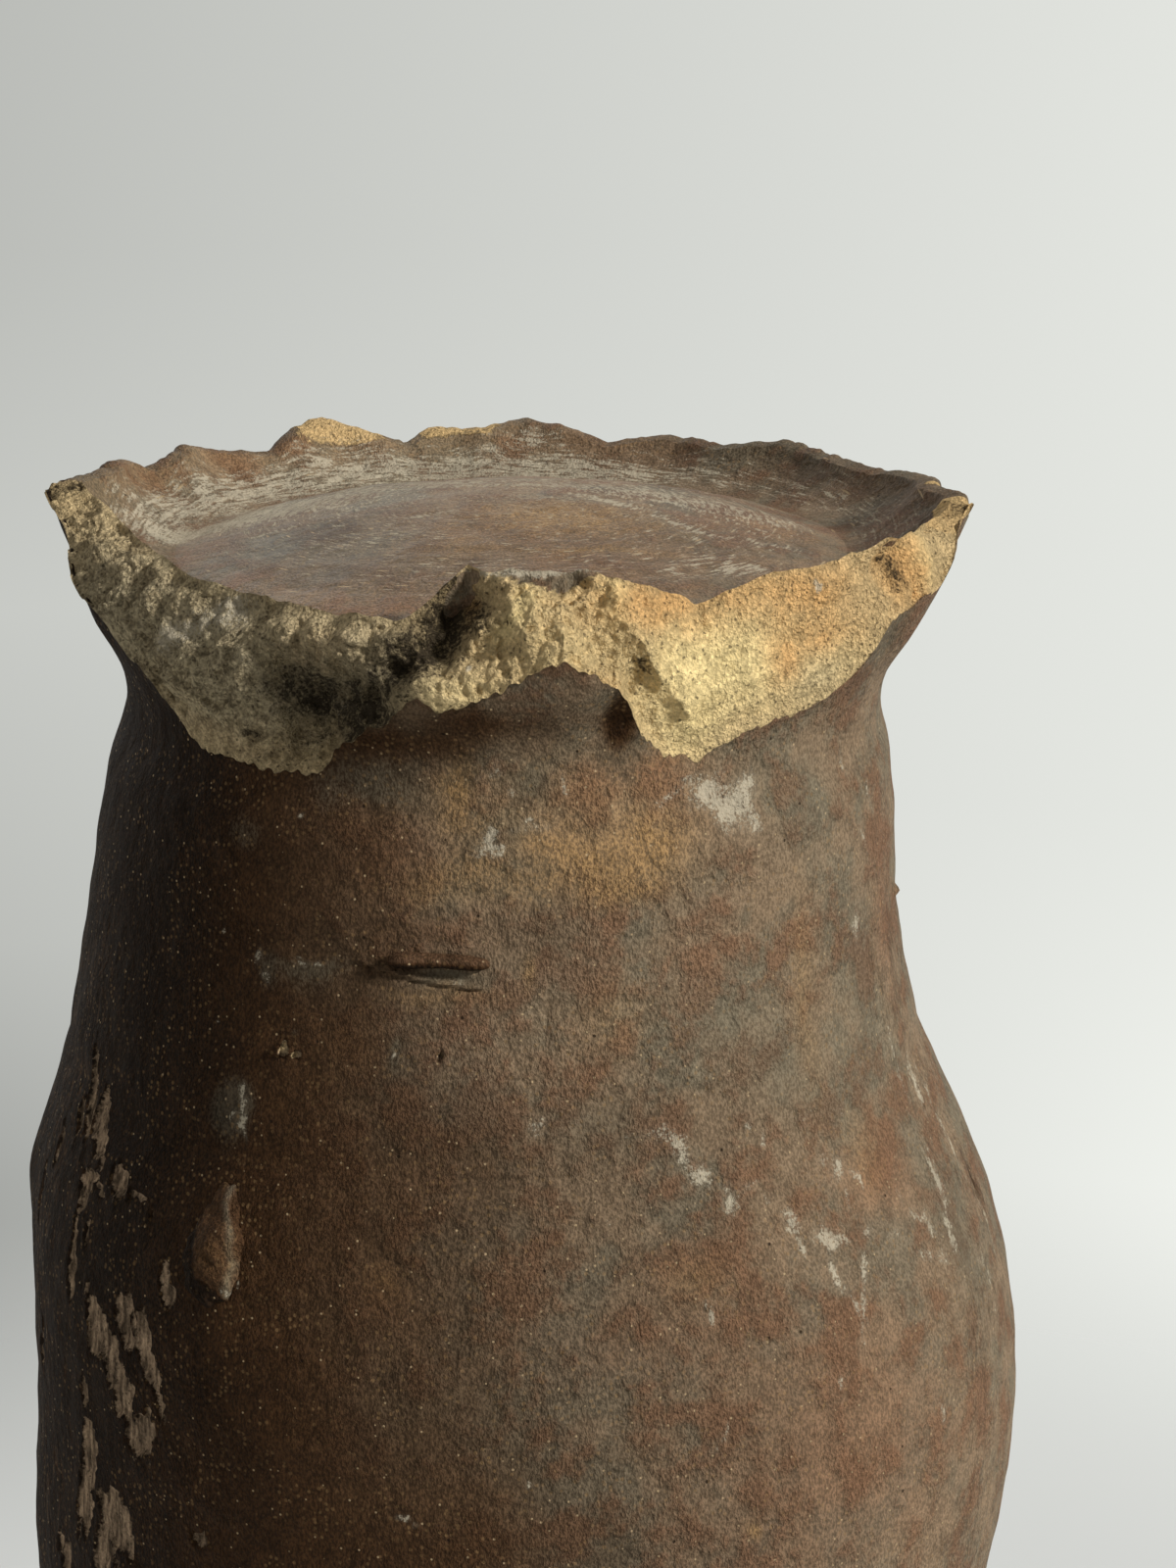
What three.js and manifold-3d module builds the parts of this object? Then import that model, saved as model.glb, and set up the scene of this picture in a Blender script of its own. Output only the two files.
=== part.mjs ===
// A stoneware jug with a thumbed foot, standing on its mouth as it was photographed.
// The mouth lies in the plane z = 0 and the broken foot is at the top.
// Millimetres, +Z up, the front is -Y, and azimuths run from the front towards +X in degrees.

import * as THREE from 'three';
import { mergeVertices } from 'three/addons/utils/BufferGeometryUtils.js';
import Module from 'manifold-3d';

const wasm = await Module();
wasm.setup();

// Heights of the zones, from the mouth up to the foot
const RIM_HEIGHT = 12;
const NECK_HEIGHT = 50;
const SHOULDER_HEIGHT = 50;
const BELLY_HEIGHT = 69;
const STEM_HEIGHT = 31;
const FOOT_HEIGHT = 30;

// Outer radii of the thrown body
const RIM_RADIUS = 36;
const NECK_RADIUS = 33;
const CORDON_SEAT_RADIUS = 32;
const SHOULDER_RADIUS = 46.5;
const GIRTH_RADIUS = 54.8;
const BELLY_RADIUS = 56.2;
const HAUNCH_RADIUS = 54.6;
const KINK_RADIUS = 47.6;
const STEM_RADIUS = 45;
const FOOT_JOINT_RADIUS = 42.9;

// Walls and fits
const WALL = 6;
const RIM_WALL = 8.5;
const SKIRT_WALL = 4;
const FIT = 0.3;
const TONGUE_HEIGHT = 3;

// The base, which sags towards the foot plane
const BASE_RADIUS = 36;
const BASE_THICKNESS = 6.5;
const TROUGH_DEPTH = 7.6;
const BASE_SAG = 5.5;

// The coil that was pinched into the foot
const WAIST_RADIUS = 41.1;
const WAIST_RISE = 8.5;
const FLARE_RADIUS = 45.9;
const FLARE_RISE = 18;
const LIP_RADIUS = 51;
const LIP_THICKNESS = 4;
const LIP_ROUNDING = 1.2;
const PINCH_DEPTH = 1.8;
const PINCH_DIP = 1.8;

// The applied cordon, the handle and what the kiln dropped on the wall
const CORDON_WIDTH = 8;
const CORDON_PROUD = 2.6;
const STRAP_WIDTH = 20;
const STRAP_THICKNESS = 7;
const STRAP_GROOVE = 1.4;
const STRAP_STANDOFF = 21;
const STRAP_FLARE = 0.35;
const STRAP_RIM_GAP = 9;
const STRAP_SHOULDER_RISE = 32;
const LUMP_SIZE = [7.4, 4.6, 12];
const LUMP_AZIMUTH = -33.5;
const LUMP_DROP = 9;
const SPLINTER_LENGTH = 10;
const SPLINTER_WIDTH = 1.7;
const SPLINTER_PROUD = 1.1;
const SPLINTER_AZIMUTH = -6;
const SPLINTER_RISE = 21.3;

// Levels that follow from the heights
const NECK_FROM = RIM_HEIGHT;
const SHOULDER_FROM = NECK_FROM + NECK_HEIGHT;
const BELLY_FROM = SHOULDER_FROM + SHOULDER_HEIGHT;
const STEM_FROM = BELLY_FROM + BELLY_HEIGHT;
const FOOT_FROM = STEM_FROM + STEM_HEIGHT;
const FOOT_PLANE = FOOT_FROM + FOOT_HEIGHT;
const TROUGH = FOOT_PLANE - TROUGH_DEPTH;

const TURN = 2 * Math.PI;
const SIDES = 48;
const FOOT_SIDES = 72;
const toRadians = THREE.MathUtils.degToRad;

// A smooth line through the given [position, value] knots: a cubic between each two,
// whose slope at a knot is the mean of the slopes on its two sides.
function lineThrough(knots) {
  const rises = knots.slice(1).map(([x, y], i) => (y - knots[i][1]) / (x - knots[i][0]));
  const slopes = knots.map((knot, i) => {
    const before = rises[Math.max(i - 1, 0)];
    const after = rises[Math.min(i, rises.length - 1)];
    return (before + after) / 2;
  });
  return (x) => {
    let i = 0;
    while (i < knots.length - 2 && x > knots[i + 1][0]) i += 1;
    const span = knots[i + 1][0] - knots[i][0];
    const t = (x - knots[i][0]) / span;
    const bend = t * t * (3 - 2 * t);
    const leave = slopes[i] * span * t * (1 - t) * (1 - t);
    const arrive = slopes[i + 1] * span * t * t * (1 - t);
    return knots[i][1] + (knots[i + 1][1] - knots[i][1]) * bend + leave - arrive;
  };
}

// Outer radius of the body from the neck to the kink, where the stem begins
const bodyOutline = lineThrough([
  [NECK_FROM, NECK_RADIUS],
  [SHOULDER_FROM, CORDON_SEAT_RADIUS],
  [SHOULDER_FROM + SHOULDER_HEIGHT * 0.42, SHOULDER_RADIUS],
  [BELLY_FROM, GIRTH_RADIUS],
  [BELLY_FROM + BELLY_HEIGHT * 0.4, BELLY_RADIUS],
  [BELLY_FROM + BELLY_HEIGHT * 0.7, HAUNCH_RADIUS],
  [STEM_FROM, KINK_RADIUS],
]);

// Outer radius from the kink through the waist to the lip of the foot, without its pinches
const footOutline = lineThrough([
  [STEM_FROM, KINK_RADIUS],
  [STEM_FROM + STEM_HEIGHT * 0.45, STEM_RADIUS],
  [FOOT_FROM, FOOT_JOINT_RADIUS],
  [FOOT_FROM + WAIST_RISE, WAIST_RADIUS],
  [FOOT_FROM + FLARE_RISE, FLARE_RADIUS],
  [FOOT_PLANE, LIP_RADIUS],
]);

// How far the pot leans sideways at each level, because it was thrown a little off true
const lean = lineThrough([
  [0, 0],
  [SHOULDER_FROM, 0],
  [BELLY_FROM, -1.3],
  [BELLY_FROM + BELLY_HEIGHT * 0.45, 0.5],
  [STEM_FROM, -2.8],
  [FOOT_FROM, -1.9],
  [FOOT_PLANE, -0.3],
]);

const outerRadius = (z) => (z <= STEM_FROM ? bodyOutline(z) : footOutline(z));

// Inner radius of the body: an even wall up to the kink, thicker from there to the base
function innerRadius(z) {
  const thickening = THREE.MathUtils.smoothstep(z, STEM_FROM, FOOT_FROM);
  const evenWall = outerRadius(Math.min(z, FOOT_FROM)) - WALL;
  return THREE.MathUtils.lerp(evenWall, BASE_RADIUS - FIT / 2 - SKIRT_WALL, thickening);
}

// Radius halfway through the wall, where a tongue meets its groove
const seamRadius = (z) => (outerRadius(z) + innerRadius(z)) / 2;

// Levels from one height to another, both included
function levels(from, to, steps) {
  return Array.from({ length: steps + 1 }, (_, i) => from + ((to - from) * i) / steps);
}

// Moves each level of a geometry sideways by the lean of the pot there
function leanOver(geometry) {
  const place = geometry.getAttribute('position');
  for (let i = 0; i < place.count; i += 1) {
    place.setX(i, place.getX(i) + lean(place.getZ(i)));
  }
  return geometry;
}

// A solid of revolution from [radius, level] points
function turned(points, sides = SIDES) {
  const outline = points.map(([r, z]) => new THREE.Vector2(r, z));
  return leanOver(new THREE.LatheGeometry(outline, sides).rotateX(Math.PI / 2));
}

// A closed ring from [radius, level] points, which returns to its first point
const turnedRing = (points, sides) => turned([...points, points[0]], sides);

// The groove under a wall: its inner half stands back to take the tongue of the wall below
function grooveAt(level) {
  const roof = level + TONGUE_HEIGHT + FIT;
  const side = seamRadius(level) + FIT / 2;
  return [[innerRadius(roof), roof], [side, roof], [side, level]];
}

// The tongue on top of a wall, on its inner half
function tongueAt(level) {
  const top = level + TONGUE_HEIGHT;
  const side = seamRadius(level) - FIT / 2;
  return [[side, level], [side, top], [innerRadius(top), top]];
}

// One zone of the thrown wall, with a groove under it and a tongue or a flat face above
function wallZone(from, to, steps, top) {
  const outside = levels(from, to, steps).map((z) => [outerRadius(z), z]);
  const inside = levels(to, from + TONGUE_HEIGHT + FIT, Math.ceil(steps / 2))
    .slice(1, -1)
    .map((z) => [innerRadius(z), z]);
  return turnedRing([...grooveAt(from), ...outside, ...top, ...inside]);
}

// The mouth collar: flat where the jug rests, rounded outside, drawn in to the neck
function rimBand() {
  const bore = RIM_RADIUS - RIM_WALL;
  const edge = 1.5;
  return turnedRing([
    [bore + edge, 0],
    [RIM_RADIUS - edge, 0],
    [RIM_RADIUS - edge / 3, edge / 2],
    [RIM_RADIUS, edge * 1.5],
    [RIM_RADIUS, RIM_HEIGHT * 0.62],
    [RIM_RADIUS - edge * 0.6, RIM_HEIGHT * 0.85],
    [NECK_RADIUS, RIM_HEIGHT],
    ...tongueAt(NECK_FROM),
    [innerRadius(NECK_FROM), NECK_FROM],
    [bore, edge],
  ]);
}

const neckWall = () => wallZone(NECK_FROM, SHOULDER_FROM, 6, tongueAt(SHOULDER_FROM));
const shoulderWall = () => wallZone(SHOULDER_FROM, BELLY_FROM, 12, tongueAt(BELLY_FROM));
const bellyWall = () => wallZone(BELLY_FROM, STEM_FROM, 9, tongueAt(STEM_FROM));

// The stem ends in a flat face that carries both the base and the foot coil
function stemWall() {
  return wallZone(STEM_FROM, FOOT_FROM, 6, [[innerRadius(FOOT_FROM), FOOT_FROM]]);
}

// The base: a dome on a short skirt that stands on the stem wall, inside the foot coil
function baseDisc() {
  const rim = BASE_RADIUS - FIT / 2;
  const inside = rim - SKIRT_WALL;
  const dome = (r) => TROUGH + BASE_SAG * (1 - (r / rim) ** 2);
  const top = levels(rim, 0, 6).map((r) => [r, dome(r)]);
  const under = levels(0, inside * 0.85, 3).map((r) => [r, dome(r) - BASE_THICKNESS]);
  const corner = [inside, dome(inside) - BASE_THICKNESS * 1.6];
  return turned([...under, corner, [inside, FOOT_FROM], [rim, FOOT_FROM], ...top], FOOT_SIDES / 2);
}

// A cordon laid over the seam between neck and shoulder
function neckCordon() {
  const from = SHOULDER_FROM - CORDON_WIDTH / 2;
  const seat = levels(CORDON_WIDTH, 0, 4).map((w) => [outerRadius(from + w) + FIT, from + w]);
  const round = levels(0, CORDON_WIDTH, 6).slice(1, -1).map((w) => {
    const swell = CORDON_PROUD * Math.sin((Math.PI * w) / CORDON_WIDTH) ** 0.6;
    return [outerRadius(from + w) + FIT + swell, from + w];
  });
  return turnedRing([...round, ...seat]);
}

// Thumbed crests round the foot: [azimuth, height above the foot plane before wear].
// The two that stand above it are worn flat, and those in front have broken away.
const CRESTS = [
  [10, -1.5], [30, -1.5], [50, -1.5], [70, -1.5], [90, -1.3], [105, -2], [138, -2.3], [156, -2.6],
  [180, -1.2], [192, -1.8], [210, 2.8], [230, -0.9], [248, -0.6], [270, 2.8],
  [290, -1.5], [310, -1.5], [330, -1.5], [350, -1.5],
];

// The broken front: [azimuth, rise of the outer edge above the foot joint,
// radius of the inner edge, depth of the inner edge below the foot plane]
const BREAK = [
  [-90, 28, 46.4, 0.6], [-80, 25, 44, 1.6], [-64, 19, 43, 2.7], [-55, 14, 43, 3.2],
  [-47, 8, 43.3, 4], [-35, 7, 42.5, 4.8], [-24, 7.8, 42, 5.7], [-13, 14, 42.5, 6],
  [-8, 16, 41.5, 4.7], [-3, 17, 40, 1.8], [7, 21, 41, 1.7], [18, 14, 41, 2.6],
  [26, 8.8, 41.6, 4], [31, 9.3, 41.8, 5.6], [40, 11.4, 42.3, 3.8], [50, 11.5, 41.8, 3],
  [58, 16, 43.3, 3.6], [68, 20.5, 44.6, 3], [80, 26.5, 46, 2],
];
const BREAK_HOLLOW = 0.8;

// Value of one column of a table at an azimuth, straight between its rows
function between(rows, azimuth, column) {
  const after = rows.findIndex((row) => row[0] >= azimuth);
  if (after <= 0) return rows[after === 0 ? 0 : rows.length - 1][column];
  const [low, high] = [rows[after - 1], rows[after]];
  const share = (azimuth - low[0]) / (high[0] - low[0]);
  return THREE.MathUtils.lerp(low[column], high[column], share);
}

// Crests numbered in turn all the way round, so that a crest is a whole number of laps
const CREST_LAPS = [
  [CRESTS.at(-1)[0] - 360, CRESTS.at(-1)[1], -1],
  ...CRESTS.map(([azimuth, height], i) => [azimuth, height, i]),
  [CRESTS[0][0] + 360, CRESTS[0][1], CRESTS.length],
];

// How far the frill has dropped from its crests at an azimuth from 0 to 360: 0 on one, 1 between
function pinch(azimuth) {
  return (1 - Math.cos(TURN * between(CREST_LAPS, azimuth, 2))) / 2;
}

// The section of the foot coil at one azimuth, as a closed loop of [radius, level] points
function footSection(azimuth) {
  const signed = azimuth > 180 ? azimuth - 360 : azimuth;
  const broken = signed > BREAK[0][0] && signed < BREAK.at(-1)[0];
  const lip = FOOT_PLANE + between(CREST_LAPS, azimuth, 1) - PINCH_DIP * pinch(azimuth);
  const wall = (z) => {
    const reach = THREE.MathUtils.smoothstep(z, FOOT_FROM + WAIST_RISE, FOOT_PLANE);
    return footOutline(z) - PINCH_DEPTH * pinch(azimuth) * reach;
  };
  const outerEdge = broken ? FOOT_FROM + between(BREAK, signed, 1) : lip - LIP_ROUNDING * 2;
  const innerEdge = broken
    ? [between(BREAK, signed, 2), FOOT_PLANE - between(BREAK, signed, 3)]
    : [wall(lip) - LIP_THICKNESS, lip - LIP_ROUNDING / 2];
  const start = [wall(outerEdge), outerEdge];
  const bulge = broken ? -BREAK_HOLLOW : LIP_ROUNDING;
  const over = levels(0, 1, 4).slice(1, -1).map((t) => {
    const lift = bulge * Math.sin(Math.PI * t);
    return [
      THREE.MathUtils.lerp(start[0], innerEdge[0], t) + lift * 0.7,
      THREE.MathUtils.lerp(start[1], innerEdge[1], t) + lift * (broken ? 0 : 0.9),
    ];
  });
  const seat = BASE_RADIUS + FIT / 2;
  const slope = levels(0, 1, 4).slice(1, -1).map((t) => [
    THREE.MathUtils.lerp(innerEdge[0], seat, t),
    THREE.MathUtils.lerp(innerEdge[1], TROUGH, t * (2 - t)),
  ]);
  const outside = levels(FOOT_FROM, outerEdge, 5).map((z) => [wall(z), z]);
  const loop = [[seat, FOOT_FROM], ...outside, ...over, innerEdge, ...slope, [seat, TROUGH]];
  return loop.map(([r, z]) => [r, Math.min(z, FOOT_PLANE)]);
}

// The foot coil: its sections set round the pot and joined into one closed skin
function footRing() {
  const sections = levels(0, 360, FOOT_SIDES).slice(0, -1).map((azimuth) => {
    const angle = toRadians(azimuth);
    return footSection(azimuth).map(([r, z]) => [r * Math.sin(angle), -r * Math.cos(angle), z]);
  });
  const size = sections[0].length;
  const faces = [];
  for (let j = 0; j < FOOT_SIDES; j += 1) {
    const next = (j + 1) % FOOT_SIDES;
    for (let i = 0; i < size; i += 1) {
      const up = (i + 1) % size;
      faces.push(j * size + i, next * size + i, next * size + up);
      faces.push(j * size + i, next * size + up, j * size + up);
    }
  }
  const geometry = new THREE.BufferGeometry();
  geometry.setAttribute('position', new THREE.Float32BufferAttribute(sections.flat(2), 3));
  geometry.setIndex(faces);
  return leanOver(geometry);
}

// A closed solid for cutting, from a geometry whose shared corners are merged
function solid(geometry) {
  const bare = geometry.clone();
  bare.deleteAttribute('normal');
  bare.deleteAttribute('uv');
  const merged = mergeVertices(bare, 1e-4);
  return new wasm.Manifold(new wasm.Mesh({
    numProp: 3,
    vertProperties: new Float32Array(merged.getAttribute('position').array),
    triVerts: new Uint32Array(merged.getIndex().array),
  }));
}

// The part of a geometry that stays outside the wall of the pot, with a clearance
function fittedToWall(geometry) {
  const heights = [...levels(NECK_FROM, STEM_FROM, 40), ...levels(STEM_FROM, FOOT_FROM, 12).slice(1)];
  const wall = heights.map((z) => [outerRadius(z) + FIT, z]);
  const core = turned([[0, NECK_FROM], ...wall, [0, FOOT_FROM]], 2 * SIDES);
  const mesh = solid(geometry).subtract(solid(core)).getMesh();
  const cut = new THREE.BufferGeometry();
  cut.setAttribute('position', new THREE.BufferAttribute(mesh.vertProperties, 3));
  cut.setIndex(new THREE.BufferAttribute(mesh.triVerts, 1));
  return cut;
}

// The handle: a grooved strap from below the rim out and up to the shoulder, behind the pot
function handleStrap() {
  const half = STRAP_WIDTH / 2;
  const thick = STRAP_THICKNESS / 2;
  const section = new THREE.Shape([
    [-half, 0], [-half * 0.8, -thick], [half * 0.8, -thick], [half, 0],
    [half * 0.75, thick], [half * 0.4, thick], [half * 0.2, thick - STRAP_GROOVE],
    [-half * 0.2, thick - STRAP_GROOVE], [-half * 0.4, thick], [-half * 0.75, thick],
  ].map(([x, y]) => new THREE.Vector2(x, y)));
  const low = NECK_FROM + STRAP_RIM_GAP;
  const high = SHOULDER_FROM + STRAP_SHOULDER_RISE;
  const reach = NECK_RADIUS + STRAP_STANDOFF;
  const path = new THREE.CatmullRomCurve3([
    [outerRadius(low) - 4, low - 3],
    [reach - 12, low + 2],
    [reach - 3, low + 12],
    [reach, low + 28],
    [reach - 0.5, high - 28],
    [reach - 3, high - 11],
    [outerRadius(high) - 6, high + 3],
  ].map(([y, z]) => new THREE.Vector3(0, y, z)));
  const strap = new THREE.ExtrudeGeometry(section, { steps: 16, extrudePath: path });
  const place = strap.getAttribute('position');
  for (let i = 0; i < place.count; i += 1) {
    const share = (place.getZ(i) - low) / (high - low);
    const widening = 1 + STRAP_FLARE * Math.abs(2 * share - 1) ** 4;
    place.setX(i, place.getX(i) * Math.min(widening, 1 + STRAP_FLARE));
  }
  return fittedToWall(strap);
}

// Turns a geometry made lying on the plane y = 0 so that it lies on the wall at a place there
function ontoWall(geometry, azimuth, level) {
  const tilt = Math.atan2(outerRadius(level - 1) - outerRadius(level + 1), 2);
  return geometry
    .rotateX(tilt)
    .translate(0, -outerRadius(level), 0)
    .rotateZ(toRadians(azimuth))
    .translate(lean(level), 0, level);
}

// A lump of clay that stuck to the wall in the kiln
function kilnLump() {
  const lump = new THREE.SphereGeometry(0.5, 16, 10).scale(...LUMP_SIZE);
  return fittedToWall(ontoWall(lump, LUMP_AZIMUTH, STEM_FROM - LUMP_DROP));
}

// A splinter that fused to the wall: a bar with tapered ends that lies across the stem
function fusedSplinter() {
  const half = SPLINTER_LENGTH / 2;
  const outline = new THREE.Shape([
    [-half, -SPLINTER_WIDTH / 2], [half * 0.8, -SPLINTER_WIDTH / 2], [half, 0],
    [half * 0.9, SPLINTER_WIDTH / 2], [-half * 0.9, SPLINTER_WIDTH * 0.3],
  ].map(([x, y]) => new THREE.Vector2(x, y)));
  const depth = 2 * SPLINTER_PROUD;
  const bar = new THREE.ExtrudeGeometry(outline, { depth, bevelEnabled: false });
  bar.translate(0, 0, -depth / 2).rotateX(Math.PI / 2);
  return fittedToWall(ontoWall(bar, SPLINTER_AZIMUTH, STEM_FROM + SPLINTER_RISE));
}

const IRON_WASH = { color: 0x5a4232, roughness: 0.5, metalness: 0 };
const DARK_WASH = { color: 0x4a3527, roughness: 0.55, metalness: 0 };
const BARE_CLAY = { color: 0xb99a63, roughness: 0.9, metalness: 0 };
const BASE_WASH = { color: 0x6b5040, roughness: 0.6, metalness: 0 };
const KILN_GRIT = { color: 0x6a4d31, roughness: 0.7, metalness: 0 };

function piece(name, geometry, finish) {
  const mesh = new THREE.Mesh(geometry, new THREE.MeshStandardMaterial(finish));
  mesh.name = name;
  return mesh;
}

const jug = new THREE.Group();
jug.add(
  piece('rim_band', rimBand(), DARK_WASH),
  piece('neck_wall', neckWall(), IRON_WASH),
  piece('neck_cordon', neckCordon(), DARK_WASH),
  piece('shoulder_wall', shoulderWall(), IRON_WASH),
  piece('belly_wall', bellyWall(), IRON_WASH),
  piece('stem_wall', stemWall(), IRON_WASH),
  piece('base_disc', baseDisc(), BASE_WASH),
  piece('foot_ring', footRing(), BARE_CLAY),
  piece('handle_strap', handleStrap(), IRON_WASH),
  piece('kiln_lump', kilnLump(), KILN_GRIT),
  piece('fused_splinter', fusedSplinter(), KILN_GRIT),
);

export default jug;
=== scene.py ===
"""A salt-glazed stoneware jug with a thumbed foot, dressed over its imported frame.

It stands on its mouth, as it was photographed, and the front of its foot has broken away. Lengths in the
formulas are millimetres and turn into metres where a mesh is made. Azimuths run from the front, which is
-Y, towards +X in degrees, and levels run up from the mouth.
"""
import itertools
import math

import bpy
import numpy as np
from bpy.props import FloatProperty, FloatVectorProperty, PointerProperty
from bpy.types import NodeSocket, Operator, Panel, PropertyGroup
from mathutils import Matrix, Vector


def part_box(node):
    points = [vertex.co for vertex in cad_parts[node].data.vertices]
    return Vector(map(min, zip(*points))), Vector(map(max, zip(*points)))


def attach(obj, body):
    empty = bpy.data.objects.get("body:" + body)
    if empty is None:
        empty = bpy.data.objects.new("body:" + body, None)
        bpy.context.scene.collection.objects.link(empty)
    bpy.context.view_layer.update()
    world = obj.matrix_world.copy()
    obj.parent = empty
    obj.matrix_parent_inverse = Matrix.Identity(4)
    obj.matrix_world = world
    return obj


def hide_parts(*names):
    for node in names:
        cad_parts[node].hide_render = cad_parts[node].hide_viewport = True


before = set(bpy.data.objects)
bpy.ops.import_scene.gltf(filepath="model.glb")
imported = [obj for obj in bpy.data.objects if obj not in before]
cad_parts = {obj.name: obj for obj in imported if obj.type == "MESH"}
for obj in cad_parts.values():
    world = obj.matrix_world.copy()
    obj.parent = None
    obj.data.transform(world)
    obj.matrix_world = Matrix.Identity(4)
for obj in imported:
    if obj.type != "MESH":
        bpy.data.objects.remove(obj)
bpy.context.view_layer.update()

bl_info = {
    "name": "Stoneware Jug",
    "version": (1, 0, 0),
    "blender": (4, 5, 0),
    "location": "3D View > Sidebar > Jug",
    "description": "Dresses the frame of a salt-glazed jug with a broken thumbed foot",
    "category": "Add Mesh",
}

MM = 0.001

# Levels where one zone of the pot sits on the next, from the frame
NECK_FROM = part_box("neck_wall")[0].z / MM
SHOULDER_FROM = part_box("shoulder_wall")[0].z / MM
BELLY_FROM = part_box("belly_wall")[0].z / MM
STEM_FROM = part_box("stem_wall")[0].z / MM
FOOT_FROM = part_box("foot_ring")[0].z / MM
FOOT_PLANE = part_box("foot_ring")[1].z / MM


# Settings that a user would change

def length(label, description, millimetres):
    return FloatProperty(name=label, description=description, default=millimetres * MM, min=0.0,
                         precision=4, subtype="DISTANCE", unit="LENGTH")


def colour(label, description, red, green, blue):
    return FloatVectorProperty(name=label, description=description, default=(red, green, blue), min=0.0,
                               max=1.0, size=3, subtype="COLOR")


def angle(label, description, degrees):
    return FloatProperty(name=label, description=description, default=math.radians(degrees),
                         subtype="ANGLE", unit="ROTATION")


def amount(label, description, value, most=10.0):
    return FloatProperty(name=label, description=description, default=value, min=0.0, max=most)


class JugBodySettings(PropertyGroup):
    """Radii and walls of the thrown pot."""
    rim: length("Rim", "Outer radius of the collar round the mouth", 36)
    rim_wall: length("Rim wall", "Thickness of the collar round the mouth", 8.5)
    neck: length("Neck", "Outer radius of the neck above the collar", 33)
    cordon_seat: length("Cordon seat", "Outer radius where the neck meets the shoulder", 32)
    shoulder: length("Shoulder", "Outer radius partway up the shoulder", 46.5)
    girth: length("Girth", "Outer radius where shoulder and belly meet", 54.8)
    belly: length("Belly", "Outer radius at the widest place", 56.2)
    haunch: length("Haunch", "Outer radius above the widest place", 54.6)
    kink: length("Kink", "Outer radius where the stem begins", 47.6)
    stem: length("Stem", "Outer radius of the stem", 45)
    foot_joint: length("Foot joint", "Outer radius where the foot coil was luted on", 42.9)
    wall: length("Wall", "Thickness of the thrown wall", 6)
    fit: length("Fit", "Play between a tongue and its groove", 0.3)
    tongue: length("Tongue", "Height of the tongue on top of a zone", 3)
    waver: length("Waver", "How far the wall strays from true", 0.32)


class JugFootSettings(PropertyGroup):
    """The sagging base and the coil pinched round it."""
    waist: length("Waist", "Outer radius under the frill", 41.1)
    flare: length("Flare", "Outer radius partway up the frill", 45.9)
    lip: length("Lip", "Outer radius of the frill in the foot plane", 51)
    lip_thickness: length("Lip thickness", "Thickness of the whole part of the frill", 4)
    rounding: length("Rounding", "Rounding of the whole lip", 1.2)
    pinch: length("Pinch", "How far a thumb pressed the wall in", 1.8)
    base: length("Base", "Radius where the base meets the frill", 36)
    base_thickness: length("Base thickness", "Thickness of the base", 6.5)
    skirt: length("Skirt", "Thickness of the skirt under the base", 4)
    sag: length("Sag", "How far the middle of the base has sagged", 5.5)
    trough: length("Trough", "Depth of the trough round the base", 7.6)
    roughness: length("Break roughness", "Height of the crags in the broken face", 0.75)


class JugTrimSettings(PropertyGroup):
    """The cordon, the handle and what the kiln dropped on the wall."""
    cordon_width: length("Cordon width", "Width of the cordon", 8)
    cordon_proud: length("Cordon height", "How far the cordon stands out", 2.6)
    strap_width: length("Strap width", "Width of the handle", 20)
    strap_thickness: length("Strap thickness", "Thickness of the handle", 7)
    strap_groove: length("Strap groove", "Depth of the thumb groove down the handle", 1.4)
    strap_standoff: length("Strap standoff", "Distance from the neck to the middle of the handle", 21)
    lump_width: length("Lump width", "Width of the fallen lump", 8)
    lump_depth: length("Lump depth", "Thickness of the fallen lump", 4.6)
    lump_height: length("Lump height", "Height of the fallen lump", 12)
    splinter_length: length("Splinter length", "Length of the fused splinter", 10)
    splinter_width: length("Splinter width", "Width of the fused splinter", 1.7)
    splinter_proud: length("Splinter height", "How far the splinter stands out", 1.1)


class JugFinishSettings(PropertyGroup):
    """Colours of the fired clay and its glaze, and the size of the glaze's grains."""
    wash: colour("Iron wash", "Brown salt glaze where it fired matt", 0.26, 0.18, 0.108)
    deep: colour("Deep glaze", "Near black glaze where it ran thick", 0.019, 0.011, 0.006)
    ember: colour("Ember", "Russet glaze where it starts to run thick", 0.15, 0.066, 0.022)
    ochre: colour("Ochre", "Glaze where it ran thin over pale clay", 0.38, 0.23, 0.1)
    rust: colour("Rust", "Reddish blush of the iron wash", 0.27, 0.14, 0.075)
    ash: colour("Ash", "Grey-green stain of kiln ash", 0.19, 0.16, 0.105)
    # The spark colour also paints glints, small painted highlights on the glaze.
    spark: colour("Spark", "Bright grains standing in the glaze", 0.5, 0.36, 0.2)
    base: colour("Base wash", "Thin purple-brown wash on the base", 0.28, 0.185, 0.105)
    lime: colour("Lime", "Dry white deposit", 0.62, 0.54, 0.39)
    clay: colour("Clay", "Buff stoneware where it is broken", 0.66, 0.48, 0.24)
    warm_clay: colour("Warm clay", "Orange skin of the broken clay", 0.76, 0.45, 0.18)
    # The pale clay colour also paints light on the ridges and faces of the break that the key light strikes.
    pale_clay: colour("Pale clay", "Yellow heart of the broken clay", 0.9, 0.7, 0.33)
    grey_clay: colour("Grey clay", "Weathered broken clay", 0.5, 0.41, 0.25)
    flaked: colour("Flaked", "Tan skin under flaked glaze", 0.4, 0.28, 0.175)
    # This dark colour also paints shadow in the hollows of the break.
    soot: colour("Soot", "Dirt in the hollows of the break", 0.03, 0.022, 0.014)
    peel: length("Peel", "Size of the grains of the glaze", 0.27)
    peel_depth: length("Peel depth", "Height of the grains of the glaze", 0.5)
    grain: length("Grain", "Size of the sand grains in the clay", 0.42)


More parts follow.
